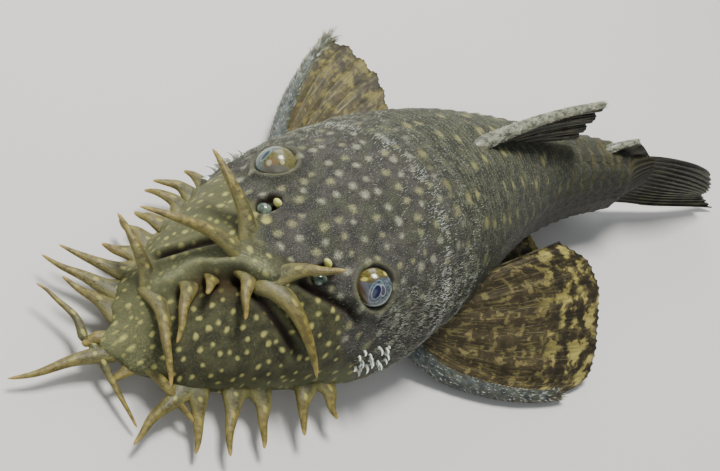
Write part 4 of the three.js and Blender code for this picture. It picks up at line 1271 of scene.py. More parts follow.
def lip_material():
    """Sucker mouth: pale fleshy disc with a pink cast, mottled."""
    made, tree, shader = new_material("lip flesh", Roughness=0.5, Coat_Weight=0.1, Subsurface_Weight=0.2,
                                      Subsurface_Scale=0.0008)
    where = object_place(tree)
    mottle = noise(where, 350.0, 3)
    base = mixed(fade(mottle, 0.35, 0.7), (0.40, 0.30, 0.19), (0.62, 0.52, 0.36))
    painted(shader, base)
    bumped(shader, noise(where, 2600.0, 2), 0.00008)
    return made


# The skin

def warped_turns(count):
    """Shares of a turn from the belly over the left side, back and right side to the belly, spaced so
    that the lines lie closer together on the back than under the belly."""
    angle = np.linspace(-math.pi / 2, 1.5 * math.pi, 4001)
    outline = section(EYE_STATION, angle)
    steps = np.linalg.norm(np.diff(outline, axis=0), axis=1)
    dense = np.where(np.sin(angle[1:]) > -0.05, 1.0, (1 - BACK_SHARE) * 1.6)
    length = np.concatenate([[0], np.cumsum(steps * dense)])
    return np.interp(np.linspace(0, length[-1], count + 1), length, angle)


def skin_map(station, angle, around):
    """The skin laid flat, in millimetres. Behind the snout it is the station and the distance round
    from the back. The snout is a dome, so there it is the direction seen from above, from the middle of
    the snout's base, and the distance over the dome in that direction."""
    margin = half_width(station) * np.sign(np.cos(angle))
    side = np.where(np.sin(angle) >= 0, side_at(station, angle), margin)
    ahead = np.maximum(SNOUT_END - station, 0)
    wide = np.hypot(ahead, side)
    length = np.zeros_like(wide)
    before = skin_height(np.full_like(station, SNOUT_END), 0 * side)
    steps = 1 - (1 - np.linspace(0, 1, 41)) ** 2
    for k in range(1, len(steps)):
        height = skin_height(np.maximum(SNOUT_END - ahead * steps[k], 0.001), side * steps[k])
        height = np.where(np.isfinite(height), height, before)
        length = length + np.hypot(wide * (steps[k] - steps[k - 1]), height - before)
        before = height
    left_edge = np.argmin(np.abs(angle[0]))
    right_edge = np.argmin(np.abs(angle[0] - math.pi))
    edge = np.where(np.cos(angle) > 0, around[:, left_edge, None], around[:, right_edge, None])
    below = np.maximum(np.abs(around) - np.abs(edge), 0)
    length = length + np.where(np.sin(angle) < 0, below, 0)
    wide = np.maximum(wide, 1e-6)
    dome = np.stack([SNOUT_END - length * ahead / wide, length * side / wide], axis=-1)
    plain = np.stack([station, -around], axis=-1)
    return np.where((station < SNOUT_END)[..., None], dome, plain)


def naked_share(station, side):
    """1 on the naked snout and its broad margin, 0 on the bony head: the border runs from behind the
    nostrils outwards and backwards to the cheeks."""
    border = 15.8 + 0.36 * np.abs(side) + 0.8 * np.sin(side * 0.9)
    return 1 - smooth(-0.7, 0.7, station - border)


def skin_marks(station, angle):
    """Point values from 0 to 1 that say where each of the skin's colours lies, such as the naked snout,
    the upper side, the hollows and the thin margin. Three others place a pattern: the distance from the
    fold, the way along it and the ray's number."""
    side = side_at(station, angle)
    up = np.sin(angle)
    naked = naked_share(station, side)
    above = np.maximum(smooth(-0.62, -0.2, up + 0.25 * smooth(60, 80, station)), smooth(66, 88, station))
    # hollow: where painted shade darkens the nostril pits, grooves and pockets
    hollow = np.zeros_like(station)
    rim = np.zeros_like(station)
    upper = smooth(-0.05, 0.1, up)
    base = section(station, angle)
    for sign in (-1, 1):
        far = nostril_gap(station, side, sign)
        hollow = np.maximum(hollow, upper * (1 - smooth(0.85, 1.25, far)))
        far = np.linalg.norm(base - eye_centre(sign), axis=-1)
        rim = np.maximum(rim, bell(far - 2.85, 0.16))
    for line, _, _, width in GROOVES:
        gap, share = to_polyline(line, station, side)
        ends = smooth(0, 0.12, share) * (1 - smooth(0.75, 1, share))
        hollow = np.maximum(hollow, upper * ends * np.minimum(1.5 * bell(gap, width), 1))
    for where, offset in POCKETS:
        hollow = np.maximum(hollow, 0.92 * upper * bell(np.hypot(station - where, side - offset), 1.05))
    fold, share = to_polyline(FOLD, station, side)
    near_side = smooth(-0.2, 0.7, side - np.interp(station, *np.transpose(FOLD)))
    ends = smooth(0.05, 0.25, share) * (1 - smooth(0.7, 0.85, share))
    # Brown in the hollow on the near side of the fold: partly its own colour, partly painted shade
    brown = 0.92 * upper * ends * near_side * bell(fold - 1.9, 1.6)
    crest = upper * smooth(0, 0.15, share) * (1 - smooth(0.75, 0.9, share)) * bell(fold, 0.8)
    edge = 0.6 * bell(up, 0.2) * (1 - smooth(20, 26, station))
    edge = np.maximum(edge, np.maximum(0.45 * crest, 0.6 * rim))
    low = from_back(angle)
    phase = plate_phase(station, low)[1]
    comb = smooth(0.45, 0.95, phase) * smooth(36, 40, station)
    # Far (right) half of the snout, paler: partly its own tone, partly painted light on the side facing the
    # light
    lit_far_half = smooth(-2, 4, -side - 0.25 * (station - 8)) * upper
    crest = (upper * smooth(0, 0.12, share) * (1 - smooth(0.85, 1, share))
             * (1 - near_side * 0.6) * bell(fold, 2.0))
    spot = np.zeros_like(station)
    for sign in (-1, 1):
        spot = np.maximum(spot, upper * (1 - smooth(0.35, 0.6, np.hypot(station - 18.0, side - sign * 3.5))))
    shade = smooth(0.14, 0.42, low) * smooth(18, 28, station)
    ray, rayed = tail_rays(station, base[..., 2])
    front = upper * (1 - smooth(1.6, 3.6, station + 0.12 * np.maximum(side, 0)))
    return dict(naked=naked, above=above, hollow=hollow, edge=edge, brown=brown, comb=comb, far=lit_far_half,
                spot=spot, crest=crest, fold_gap=fold, fold_share=30 * share, shade=shade, front=front,
                ray=ray, rayed=rayed)


def skin_shape():
    """The whole body from snout to tail root as one grid of rings, closed at both ends."""
    head = HEAD_END * np.linspace(0, 1, HEAD_RINGS, endpoint=False) ** 1.25 + 0.03
    body = np.linspace(HEAD_END, TAIL_CLOSING[1] - 0.02, BODY_RINGS)
    stations = np.concatenate([head, body])[:, None]
    angles = warped_turns(AROUND)[None, :]
    station, angle = np.broadcast_arrays(stations, angles)
    outline = section(station, angle)
    steps = np.linalg.norm(np.diff(outline, axis=1), axis=2)
    around = np.concatenate([np.zeros((len(stations), 1)), np.cumsum(steps, axis=1)], axis=1)
    back = np.argmin(np.abs(angles[0] - math.pi / 2))
    around = around - around[:, back:back + 1]
    share = np.broadcast_to(np.linspace(0, 1, AROUND + 1)[None, :], station.shape)
    maps = {"Skin": skin_map(station, angle, around),
            "OFBake": np.stack([station / TAIL_CLOSING[1], share], axis=-1) * 0.98 + 0.01}
    shape = tube(skin_point(station[:, :-1], angle[:, :-1])[0], maps)
    marks = skin_marks(station[:, :-1], angle[:, :-1])
    for name, value in marks.items():
        marks[name] = np.concatenate([value.ravel(), [value[0].mean(), value[-1].mean()]])
    return shape, marks


def tentacle_radii(root, t, gone, taper_power, web, buried):
    """Half width and half height: both narrow to a fine rounded tip, and the width flares into a web
    where the tentacle leaves the skin. A low power keeps it full."""
    taper = TENTACLE_TIP + (root - TENTACLE_TIP) * (1 - t) ** taper_power
    rounded = np.sqrt(np.clip((1 - t) / 0.035, 0.02, 1))
    flare = web * np.exp(-np.maximum(gone - buried, 0) / TENTACLE_WEB_LENGTH)
    wide = (taper + flare) * rounded
    high = (TENTACLE_HEIGHT * taper + 0.12 * flare) * rounded
    return wide, high


def tentacle_shapes():
    """All tentacles, each a tapered flattened tube along its curve with a slight waver. Forks and those
    on top start as a rounded end inside the flesh."""
    shapes = []
    reach = []
    curves = tentacle_curves()
    edge_count = len(EDGE_TENTACLES)
    t = np.linspace(0, 1, TENTACLE_STEPS) ** 1.2
    t = 1 - (1 - t) ** 1.2
    for number, (curve, root) in enumerate(curves):
        path = bezier(*curve, t)
        waver = WAVER * np.sin(2 * math.pi * t * 1.3 + number)[:, None] * (t * (1 - t) * 4)[:, None]
        path = path + waver * np.array([math.sin(number), math.cos(number), 0.4])
        path[:, 2] = np.maximum(path[:, 2], TENTACLE_FLOOR)
        gone = np.concatenate([[0], np.cumsum(np.linalg.norm(np.diff(path, axis=0), axis=1))])
        forked = edge_count <= number < edge_count + len(FORKS)
        slender = SLENDER[0] <= number < SLENDER[1] or forked
        on_top = number >= edge_count and not forked
        web = TENTACLE_WEB
        power = TENTACLE_TAPERS[1] if slender else TENTACLE_TAPERS[0]
        if on_top:
            web = TOP_WEB * root
        if number == STUB:
            web = STUB_WEB
            power = STUB_TAPER
        if forked:
            web = 0.0
        wide, high = tentacle_radii(root, t, gone, power, web, TOP_BURIED if on_top else EDGE_BURIED)
        if number >= edge_count:
            base = np.sqrt(np.clip(gone / (BASE_ROUNDING * root), 0.03, 1))
            wide = wide * base
            high = high * base
        rings, surface, share = swept(path, wide, TENTACLE_AROUND, flatness=high / wide)
        surface = surface + np.array([0, 0.7 * number])
        shapes.append(tube(rings, {"Surface": surface, "OFBake": packed_strips(number, len(curves), share)}))
        reach.append(np.concatenate([np.repeat(t, TENTACLE_AROUND), [0, 1]]))
    return together(shapes), np.concatenate(reach)


# Odontodes

def bristles(roots, directions, lengths, radii, bake):
    """One narrow closed pyramid for each root: three base corners round the root and a tip. Each has
    its own small patch of the bake map round its root's place."""
    count = len(roots)
    helper = np.where(np.abs(directions[:, 2:3]) > 0.8, np.array([[1.0, 0, 0]]), np.array([[0, 0, 1.0]]))
    first = unit(np.cross(directions, helper))
    second = np.cross(directions, first)
    points = np.empty((count, 4, 3))
    for k in range(3):
        angle = 2 * math.pi * k / 3
        ring = first * math.cos(angle) + second * math.sin(angle)
        points[:, k] = roots - directions * BRISTLE_SUNK + ring * radii[:, None]
    points[:, 3] = roots + directions * lengths[:, None]
    base = np.arange(count)[:, None] * 4
    pattern = np.array([[0, 1, 3], [1, 2, 3], [2, 0, 3], [0, 2, 1]])
    faces = (base[:, :, None] + pattern[None]).reshape(-1, 3)
    patch = np.array([[-1, -1], [1, -1], [0, 1.0]]) * BRISTLE_PATCH
    maps = {"OFBake": (bake[:, None, None, :] + patch[None, None]).repeat(4, axis=1).reshape(-1, 2)}
    return facing_out(dict(points=points.reshape(-1, 3), faces=[faces], maps=maps))


def body_bristles(name, start, end, count, seed, chance, material):
    """Odontodes on a stretch of the body: seeded places on the skin, kept by a chance that depends on
    the place, lying backwards and standing off a little. chance gives the share kept and the length."""
    draw = np.random.default_rng(seed)
    station = draw.uniform(start, end, count)
    angle = draw.uniform(-0.25, math.pi + 0.25, count)
    kept_share, length_share = chance(station, angle, side_at(station, angle))
    kept = draw.uniform(size=count) < kept_share
    station, angle, length_share = station[kept], angle[kept], length_share[kept]
    roots, normal, along = skin_point(station, angle)
    sideways = np.cross(normal, along)
    lean = draw.uniform(0.25, 0.6, len(station))[:, None]
    yaw = draw.normal(0, 0.28, len(station))[:, None]
    directions = unit(along * np.cos(lean) + normal * np.sin(lean) + sideways * yaw)
    lengths = draw.uniform(0.75, 1.25, len(station)) * length_share
    radii = 0.018 + 0.032 * lengths
    around = 0.5 + 0.5 * from_back(angle) * np.sign(math.pi / 2 - angle)
    bake = np.stack([station / TAIL_CLOSING[1], around], axis=-1) * 0.98 + 0.01
    shape = bristles(roots, directions, lengths, radii, bake)
    piece(name, shape, material, rounded=False)


def eye_clear(station, side):
    """0 inside the eye openings and nostrils, 1 outside."""
    clear = np.ones_like(station)
    for sign in (-1, 1):
        gap = np.hypot(station - EYE_STATION, side - sign * EYE_SIDE - EYE_SHIFT)
        clear = clear * smooth(2.7, 3.1, gap)
        clear = clear * smooth(1.3, 1.7, nostril_gap(station, side, sign))
    return clear


def head_chance(station, angle, side):
    """Sparse, short odontodes on the bony head, more behind the eyes and on the cheeks, and none on the
    naked snout."""
    bony = 1 - naked_share(station, side)
    behind_eye = bell(np.hypot(station - 28.5, np.abs(side) - 11.5), 3.6)
    cheek = smooth(9.5, 13, np.abs(side)) * smooth(22, 26, station)
    share = 0.15 + 0.45 * behind_eye + 0.25 * cheek
    return bony * eye_clear(station, side) * np.clip(share, 0, 1), 0.24 + 0.14 * cheek


def nape_chance(station, angle, side):
    """Pale odontodes along the edge of the nape, in patches, and scattered round it; their near-white is
    partly painted glints.
    """
    nape = bell(past_nape(station, side), 0.9)
    patch = 0.2 + 0.8 * smooth(-0.2, 0.8, np.sin(1.05 * side + 0.6))
    scattered = 0.26 * bell(station - 36.5, 5.5) * smooth(-0.5, 0.7, np.sin(1.3 * side + 1.1 * station))
    return np.clip(0.62 * nape * patch + scattered, 0, 1), 0.24 + 0.16 * nape


def body_chance(station, angle, side):
    """Odontodes on the plates: in fine upright rows, a little more of them near each plate's edge."""
    low = from_back(angle)
    across, phase = plate_phase(station, low)
    comb = 0.5 + 0.5 * np.cos(2 * math.pi * (station - 0.6 * across * (1 - across)) / ROW_PITCH)
    share = 0.06 + (0.35 + 0.3 * smooth(0.5, 0.95, phase)) * comb**3
    shown = 1 - smooth(PLATED_TO - 0.08, PLATED_TO - 0.02, low) * (1 - smooth(55, 61, station))
    return np.clip(share, 0, 1) * shown, 0.2 + 0.12 * smooth(0.6, 1, phase)


def cheek_hooks():
    """The clump of hooked odontodes on each cheek: short stout curved cones that stand outwards and bend
    forwards."""
    draw = np.random.default_rng(11)
    shapes = []
    t = np.linspace(0, 1, 9)
    total = 2 * HOOKS_COUNT
    for number in range(total):
        sign = 1 if number < HOOKS_COUNT else -1
        share = draw.uniform(-0.5, 0.5)
        where = HOOKS_STATION + HOOKS_SPREAD * share
        angle = draw.uniform(0.14, 0.4)
        angle = angle if sign > 0 else math.pi - angle
        root, normal, along = skin_point(np.array([where]), np.array([angle]))
        root, normal, along = root[0], normal[0], along[0]
        reach = HOOKS_LENGTH * (1 - 1.2 * share * share) * draw.uniform(0.6, 1.1)
        start = root - normal * 0.3
        out = unit(normal + 0.25 * along + draw.normal(0, 0.16, 3))
        middle = start + out * reach * 0.7
        end = start + out * reach - along * reach * 0.55
        path = bezier(start, middle, end, t)
        radii = 0.19 * (1 - t) ** 0.6 + 0.03
        rings, _, strip = swept(path, radii, 6)
        shapes.append(tube(rings, {"OFBake": packed_strips(number, total, strip)}))
    return together(shapes)


# Eyes and nostrils

def eye_shape(sign):
    """Eyeball: a sphere swept from its front pole, with its map in millimetres across the front."""
    rows, columns = 48, 64
    polar = np.linspace(0.01, math.pi - 0.01, rows)[:, None]
    turn = np.linspace(0, 2 * math.pi, columns + 1)[None, :]
    facing = eye_facing(sign)
    fore = unit(np.array([1.0, 0, 0]) - facing * facing[0])
    out = np.cross(facing, fore) * sign
    centre = eye_centre(sign)
    wide = EYE_RADIUS * np.sin(polar)
    x = wide * np.cos(turn)
    y = wide * np.sin(turn)
    z = np.broadcast_to(EYE_RADIUS * np.cos(polar), x.shape)
    points = centre + x[..., None] * fore + y[..., None] * out + z[..., None] * facing
    polar_wide = np.broadcast_to(polar, x.shape) * EYE_RADIUS
    flat = np.stack([polar_wide * np.cos(turn), polar_wide * np.sin(turn)], axis=-1)
    bake = flat / (2 * math.pi * EYE_RADIUS) + 0.5
    return tube(points[:, :-1], {"Eye": flat, "OFBake": bake})


def dome(centre, facing, deep, wide, tall, top_share):
    """A closed dome that is wider towards its top: the width grows by the share with the height."""
    fore = unit(np.array([1.0, 0, 0]) - facing * facing[0])
    left = np.cross(facing, fore)
    polar = np.linspace(0.02, math.pi - 0.02, 18)[:, None]
    turn = np.linspace(0, 2 * math.pi, 29)[None, :]
    width = np.sin(polar) * (1 + top_share * np.cos(polar))
    x = deep * width * np.cos(turn)
    y = wide * width * np.sin(turn)
    z = np.broadcast_to(tall * np.cos(polar), x.shape)
    points = centre + x[..., None] * fore + y[..., None] * left + z[..., None] * facing
    share = np.stack(np.broadcast_arrays(turn / (2 * math.pi), polar / math.pi), axis=-1)
    return points[:, :-1], share


def nostril_shape(sign):
    """The clear bulb in a nostril and the upright flap behind it, both set into the pit."""
    shapes = []
    for number, ((station, side), size, lean, top_share) in enumerate((
            (NOSTRIL_BULBS[sign], (0.88, 0.92, 0.7), 0.25, 0.0),
            (NOSTRIL_FLAPS[sign], (0.42, 0.58, 1.05), 0.75, 0.3))):
        facing = unit(np.array([lean, sign * 0.2, 1.0]))
        centre = place(station, side, skin_height(station, side)) - facing * 0.3
        points, share = dome(centre, facing, *size, top_share)
        shapes.append(tube(points, {"OFBake": packed_strips(number, 2, share)}))
    return shapes


def plain_material(name, first, second, size, rough, coat):
    """Two tones mixed by fine noise."""
    made, tree, shader = new_material(name, Roughness=rough, Coat_Weight=coat, Coat_Roughness=0.05)
    where = object_place(tree)
    painted(shader, two_tones(noise(where, size, 3), first, second))
    return made


# Fins

def paired_frame(spec, sign):
    """Root point and directions of a paired fin: along its spine and across towards the body."""
    station, side, height = spec["root"]
    base = place(station, sign * side, height)
    turn = math.radians(spec["heading"])
    drop = math.radians(spec["drop"])
    spine = np.array([-math.cos(turn) * math.cos(drop), sign * math.sin(turn) * math.cos(drop),
                      math.sin(drop)])
    inward = np.array([-math.sin(turn), -sign * math.cos(turn), 0.0])
    inward = unit(inward - spine * (inward @ spine))
    up = np.array([0.0, 0.0, 1.0])
    up = up - spine * (up @ spine)
    up = unit(up - inward * (up @ inward))
    tilt = math.radians(spec["tilt"])
    return base, spine, inward * math.cos(tilt) + up * math.sin(tilt)


def paired_surface(spec, sign):
    """A fan of rays: each point is the root's place across, plus the ray's length times the share
    along it, turned by the fan's angle, and bowed outwards near the leading edge."""
    base, spine, rising = paired_frame(spec, sign)

    def surface(across, along):
        across, along = np.broadcast_arrays(np.asarray(across, float), np.asarray(along, float))
        angle = np.radians(spec["fan"][0] + (spec["fan"][1] - spec["fan"][0]) * across)
        length = through(spread_lengths(spec["lengths"]), across)
        rise = across * spec["wide"] - spec["bow"] * (1 - across) * 4 * along * (1 - along)
        rise = rise + length * along * np.sin(angle)
        point = base + rising * rise[..., None] + spine * (length * along * np.cos(angle))[..., None]
        point[..., 2] = np.maximum(point[..., 2], FIN_LOWEST)
        return point

    return surface


def median_surface(root, tip, sway, arch=0.0):
    """A fin in the body's middle plane: each ray is a line from a root to a tip, both given as station
    and height, moved sideways by the sway. The upper rays bow upwards by the arch."""

    def surface(across, along):
        across, along = np.broadcast_arrays(np.asarray(across, float), np.asarray(along, float))
        root_station, root_height = root(across)
        tip_station, tip_height = tip(across)
        station = root_station + (tip_station - root_station) * along
        height = root_height + (tip_height - root_height) * along
        height = height + arch * np.maximum(1 - 1.6 * across, 0) * 4 * along * (1 - along)
        return place(station, sway(across, along), height)

    return surface


def dorsal_surface():
    """The folded dorsal fin: rays from the back's midline, laid backwards, pleated side to side."""

    def station(across):
        return DORSAL_FRONT + (DORSAL_BACK - DORSAL_FRONT) * across

    def root(across):
        return station(across), through(BACK_LINE, station(across)) - DORSAL_SUNK * (1 - across * 0.5)

    def tip(across):
        length = DORSAL_LENGTHS[0] + (DORSAL_LENGTHS[1] - DORSAL_LENGTHS[0]) * across
        rise = np.radians(DORSAL_RISES[0] + (DORSAL_RISES[1] - DORSAL_RISES[0]) * across)
        back = through(BACK_LINE, station(across))
        return station(across) + length * np.cos(rise), back + length * np.sin(rise) + 0.3

    def sway(across, along):
        return DORSAL_PLEATS * np.sin(across * math.pi * (DORSAL_RAYS - 1)) * along

    return median_surface(root, tip, sway, DORSAL_ARCH)


def anal_surface():
    """The small anal fin, laid back along the underside."""

    def station(across):
        return ANAL_FRONT + (ANAL_BACK - ANAL_FRONT) * across

    def root(across):
        return station(across), through(UNDERSIDE_LINE, station(across)) + ANAL_SUNK

    def tip(across):
        length = through(spread_lengths(ANAL_LENGTHS), across)
        drop = np.radians(ANAL_DROPS[0] + (ANAL_DROPS[1] - ANAL_DROPS[0]) * across)
        height = through(UNDERSIDE_LINE, station(across)) - length * np.sin(drop)
        return station(across) + length * np.cos(drop), np.maximum(height, FIN_LOWEST)

    return median_surface(root, tip, lambda across, along: 0 * across)


def caudal_surface():
    """The tail fin: rays from the tail's end, the lower lobe longer than the upper one."""

    def root(across):
        return CAUDAL_START[0] + 0 * across, CAUDAL_START[1] + (CAUDAL_START[2] - CAUDAL_START[1]) * across

    def tip(across):
        length = through(CAUDAL_LENGTHS, across) + 1.6
        rise = np.radians(CAUDAL_RISES[0] + (CAUDAL_RISES[1] - CAUDAL_RISES[0]) * across)
        height = CAUDAL_ROOT[0] + (CAUDAL_ROOT[1] - CAUDAL_ROOT[0]) * across + length * np.sin(rise)
        return CAUDAL_STATION + length * np.cos(rise), np.maximum(height, FIN_LOWEST)

    def sway(across, along):
        return (CAUDAL_SWAY * np.sin(across * 2 * math.pi) + CAUDAL_LEAN * across) * along**2

    return median_surface(root, tip, sway, CAUDAL_ARCH)


def adipose_surface():
    """The web behind the adipose fin's spine, down to the back."""
    rise = math.radians(ADIPOSE_RISE)
    tip_station = ADIPOSE_FRONT + ADIPOSE_LENGTH * math.cos(rise)
    tip_height = through(BACK_LINE, ADIPOSE_FRONT) + ADIPOSE_LENGTH * math.sin(rise)

    def root(across):
        station = ADIPOSE_FRONT + (ADIPOSE_WEB_END - ADIPOSE_FRONT) * across
        return station, through(BACK_LINE, station) - 1

    def tip(across):
        station = tip_station + (ADIPOSE_WEB_END + 0.4 - tip_station) * across
        return station, tip_height + (through(BACK_LINE, station) + 0.2 - tip_height) * across

    return median_surface(root, tip, lambda across, along: 0 * across)


def branch_lines(rays):
    """The four branches of each soft ray: the ray's place across the fin, the side that the branch
    takes at the first and the second parting, and the gap between rays."""
    step = 1 / (rays - 1)
    return [(ray * step, first, second, step)
            for ray in range(1, rays) for first in (-1, 1) for second in (-1, 1)]


def branch_across(line, along):
    """Place of a branch across the fin at shares along it: it parts from its neighbours a third of the
    way out, and again beyond the middle."""
    centre, first, second, step = line
    across = centre + first * step * FIRST_PARTING * smooth(0.3, 0.75, along)
    across = across + second * step * SECOND_PARTING * smooth(0.58, 1.0, along)
    return np.clip(across, 0, 1)


def margin_share(across, rays):
    """How far the membrane reaches: full at the branches' tips, scalloped in between."""
    step = 1 / (rays - 1)
    ray_place = across / step
    big = np.cos(2 * math.pi * ray_place)
    small = np.cos(8 * math.pi * ray_place)
    return 0.985 + 0.007 * big + 0.005 * small


def fin_sheet(surface, rays, grid):
    """Thin closed membrane: two faces half its thickness each side of the surface, joined round the
    rim. It sags a little between rays and thins towards the margin."""
    columns, rows = grid[0] * (rays - 1) + 1, grid[1]
    across = np.linspace(0, 1, columns)[:, None]
    along = np.linspace(0, 1, rows)[None, :]
    reach = along * margin_share(across, rays)
    middle = surface(across, reach)
    normal = unit(np.cross(np.gradient(middle, axis=0), np.gradient(middle, axis=1)))
    fold = np.cos(2 * math.pi * across * (rays - 1))
    middle = middle + normal * (MEMBRANE_SAG * fold * smooth(0.05, 0.4, along))[..., None]
    middle[..., 2] = np.maximum(middle[..., 2], MEMBRANE_LOWEST)
    half = (MEMBRANE * (1.35 - along) + 0.03 + 0 * across)[..., None]
    top = middle + normal * half
    bottom = middle - normal * half
    quads = grid_quads(columns, rows, False)[0]
    count = columns * rows
    numbers = np.arange(count).reshape(columns, rows)
    rim = np.concatenate([numbers[:, 0], numbers[-1, 1:], numbers[-2::-1, -1], numbers[0, -2:0:-1]])
    after = np.roll(rim, -1)
    walls = np.stack([rim, after, after + count, rim + count], axis=-1)
    across_full, along_full = np.broadcast_arrays(across * (rays - 1), along)
    size = np.linalg.norm(surface(0.5, 1.0) - surface(0.5, 0.0))
    flat = np.stack([across_full, along_full * size], axis=-1).reshape(-1, 2)
    bake = np.stack([across_full / (rays - 1), along_full], axis=-1).reshape(-1, 2)
    below = bake * np.array([0.48, 0.96]) + np.array([0.51, 0.02])
    above = bake * np.array([0.48, 0.96]) + np.array([0.01, 0.02])
    points = np.concatenate([top.reshape(-1, 3), bottom.reshape(-1, 3)])
    faces = [quads, quads[:, ::-1] + count, walls[:, ::-1]]
    both_flat = np.concatenate([flat, flat])
    both_bake = np.concatenate([above, below])
    order = np.concatenate([part.ravel() for part in faces])
    wall_order = walls[:, ::-1].ravel() % count
    order_bake = np.concatenate([faces[0].ravel(), faces[1].ravel(), wall_order])
    maps = {"Surface": both_flat[order], "OFBake": both_bake[order_bake]}
    reach_mark = np.concatenate([along_full.ravel()] * 2)
    return facing_out(dict(points=points, faces=faces, maps=maps)), reach_mark


def ray_tubes(surface, rays, sizes):
    """Branched soft rays as fine tubes, half sunk in the membrane."""
    shapes = []
    lines = branch_lines(rays)
    t = 0.995 * np.linspace(0, 1, RAY_STEPS)
    for number, line in enumerate(lines):
        across = branch_across(line, t)
        path = surface(across, t * margin_share(across, rays))
        beside = surface(np.clip(across + 0.01, 0, 1), t * margin_share(across, rays))
        along = unit(np.gradient(path, axis=0))
        normal = unit(np.cross(beside - path + 1e-9, along))
        fold = np.cos(2 * math.pi * across * (rays - 1)) * smooth(0.05, 0.4, t)
        path = path + normal * MEMBRANE_SAG * fold[:, None]
        radii = sizes[0] + (sizes[1] - sizes[0]) * t
        rings, surface_map, strip = swept(path, radii, 6, up=normal.mean(axis=0))
        strip = packed_strips(number, len(lines), strip)
        shapes.append(tube(rings, {"Surface": surface_map, "OFBake": strip}))
    return together(shapes)


def spine_tube(path, sizes):
    """A leading spine: a stout tapered tube, flatter than wide, with a blunt tip."""
    t = np.linspace(0, 1, len(path))
    radii = (sizes[0] + (sizes[1] - sizes[0]) * t) * np.sqrt(np.clip((1.0 - t) / 0.03, 0.05, 1))
    rings, surface_map, strip = swept(path, radii, 20, flatness=SPINE_FLATNESS)
    return tube(rings, {"Surface": surface_map, "OFBake": strip * 0.96 + 0.02})


def spine_bristles(name, path, sizes, count, lengths, seed, material):
    """Odontodes all along a leading spine, longer towards its tip, lying towards the tip."""
    draw = np.random.default_rng(seed)
    t = np.sort(draw.uniform(0.03, 0.995, count))
    steps = np.linspace(0, 1, len(path))
    centre = np.stack([np.interp(t, steps, path[:, k]) for k in range(3)], axis=-1)
    tangents = unit(np.gradient(path, axis=0))
    along = unit(np.stack([np.interp(t, steps, tangents[:, k]) for k in range(3)], axis=-1))
    across = unit(np.cross(np.array([0, 0, 1.0]), along))
    top = np.cross(along, across)
    angle = draw.uniform(-SPINE_UNDER * math.pi, (1 + SPINE_UNDER) * math.pi, count)
    out = across * np.cos(angle)[:, None] + top * (SPINE_FLATNESS * np.sin(angle))[:, None]
    radius = sizes[0] + (sizes[1] - sizes[0]) * t
    roots = centre + out * radius[:, None]
    lean = draw.uniform(0.25, 0.6, count)[:, None]
    directions = unit(along * np.cos(lean) + unit(out) * np.sin(lean) + draw.normal(0, 0.12, (count, 3)))
    size = (lengths[0] + (lengths[1] - lengths[0]) * t**5) * draw.uniform(0.7, 1.3, count)
    tips = roots + directions * size[:, None]
    kept = tips[:, 2] > 0.05
    bake = np.stack([t, (angle / math.pi + 0.3) / 1.8], axis=-1) * 0.96 + 0.02
    shape = bristles(roots[kept], directions[kept], size[kept], 0.024 + 0.03 * size[kept], bake[kept])
    piece(name, shape, material, rounded=False)


def paired_fin(name, spec, sign, replaced, membrane, rays_skin, spine_skin, bristle, seed, lengths, count,
               glints=None):
    """A fin of a pair: its membrane, rays and leading spine, and the spine's odontodes, dull ones and,
    where glints gives a material and a count, bright ones too."""
    surface = paired_surface(spec, sign)
    sheet, reach = fin_sheet(surface, spec["rays"], PAIRED_GRID)
    piece(name + "_membrane", sheet, membrane, [replaced], {"reach": reach})
    piece(name + "_rays", ray_tubes(surface, spec["rays"], PAIRED_RAY), rays_skin)
    t = np.linspace(-0.04, 1, 60)
    path = surface(0.0, np.clip(t, 0, 1))
    path[:, 2] = np.maximum(path[:, 2], spec["spine"][0] * (1 - t) + spec["spine"][1] * t + 0.1)
    piece(name + "_spine", spine_tube(path, spec["spine"]), spine_skin)
    spine_bristles(name + "_odontodes", path, spec["spine"], count, lengths, seed, bristle)
    if glints:
        bright, bright_count = glints
        spine_bristles(name + "_glints", path, spec["spine"], bright_count, lengths, seed + 20, bright)


def median_fin(name, surface, rays, membrane, rays_skin):
    """A fin on the body's midline: its membrane and its rays."""
    sheet, reach = fin_sheet(surface, rays, MEDIAN_GRID)
    piece(name + "_membrane", sheet, membrane, [name + "_fin"], {"reach": reach})
    piece(name + "_rays", ray_tubes(surface, rays, MEDIAN_RAY), rays_skin)


def dorsal_spine_path():
    """The dorsal fin's spine: a curve from the back, arched over the fin's first stretch."""
    root = place(DORSAL_FRONT, 0, through(BACK_LINE, DORSAL_FRONT) - DORSAL_SUNK)
    middle = place(DORSAL_FRONT + 12, 0, through(BACK_LINE, DORSAL_FRONT) + 3.4)
    rise = math.radians(DORSAL_RISES[0])
    tip = place(DORSAL_FRONT + DORSAL_LENGTHS[0] * math.cos(rise), 0,
                through(BACK_LINE, DORSAL_FRONT) + DORSAL_LENGTHS[0] * math.sin(rise) + 0.3)
    return bezier(root, middle, tip, np.linspace(0, 1, 60))


def adipose_spine_path():
    """The short spine in front of the adipose fin's web."""
    rise = math.radians(ADIPOSE_RISE)
    height = through(BACK_LINE, ADIPOSE_FRONT)
    root = place(ADIPOSE_FRONT, 0, height - 1.2)
    middle = place(ADIPOSE_FRONT + 2.2, 0, height + 1.4)
    tip = place(ADIPOSE_FRONT + ADIPOSE_LENGTH * math.cos(rise), 0, height + ADIPOSE_LENGTH * math.sin(rise))
    return bezier(root, middle, tip, np.linspace(0, 1, 30))


# Mouth

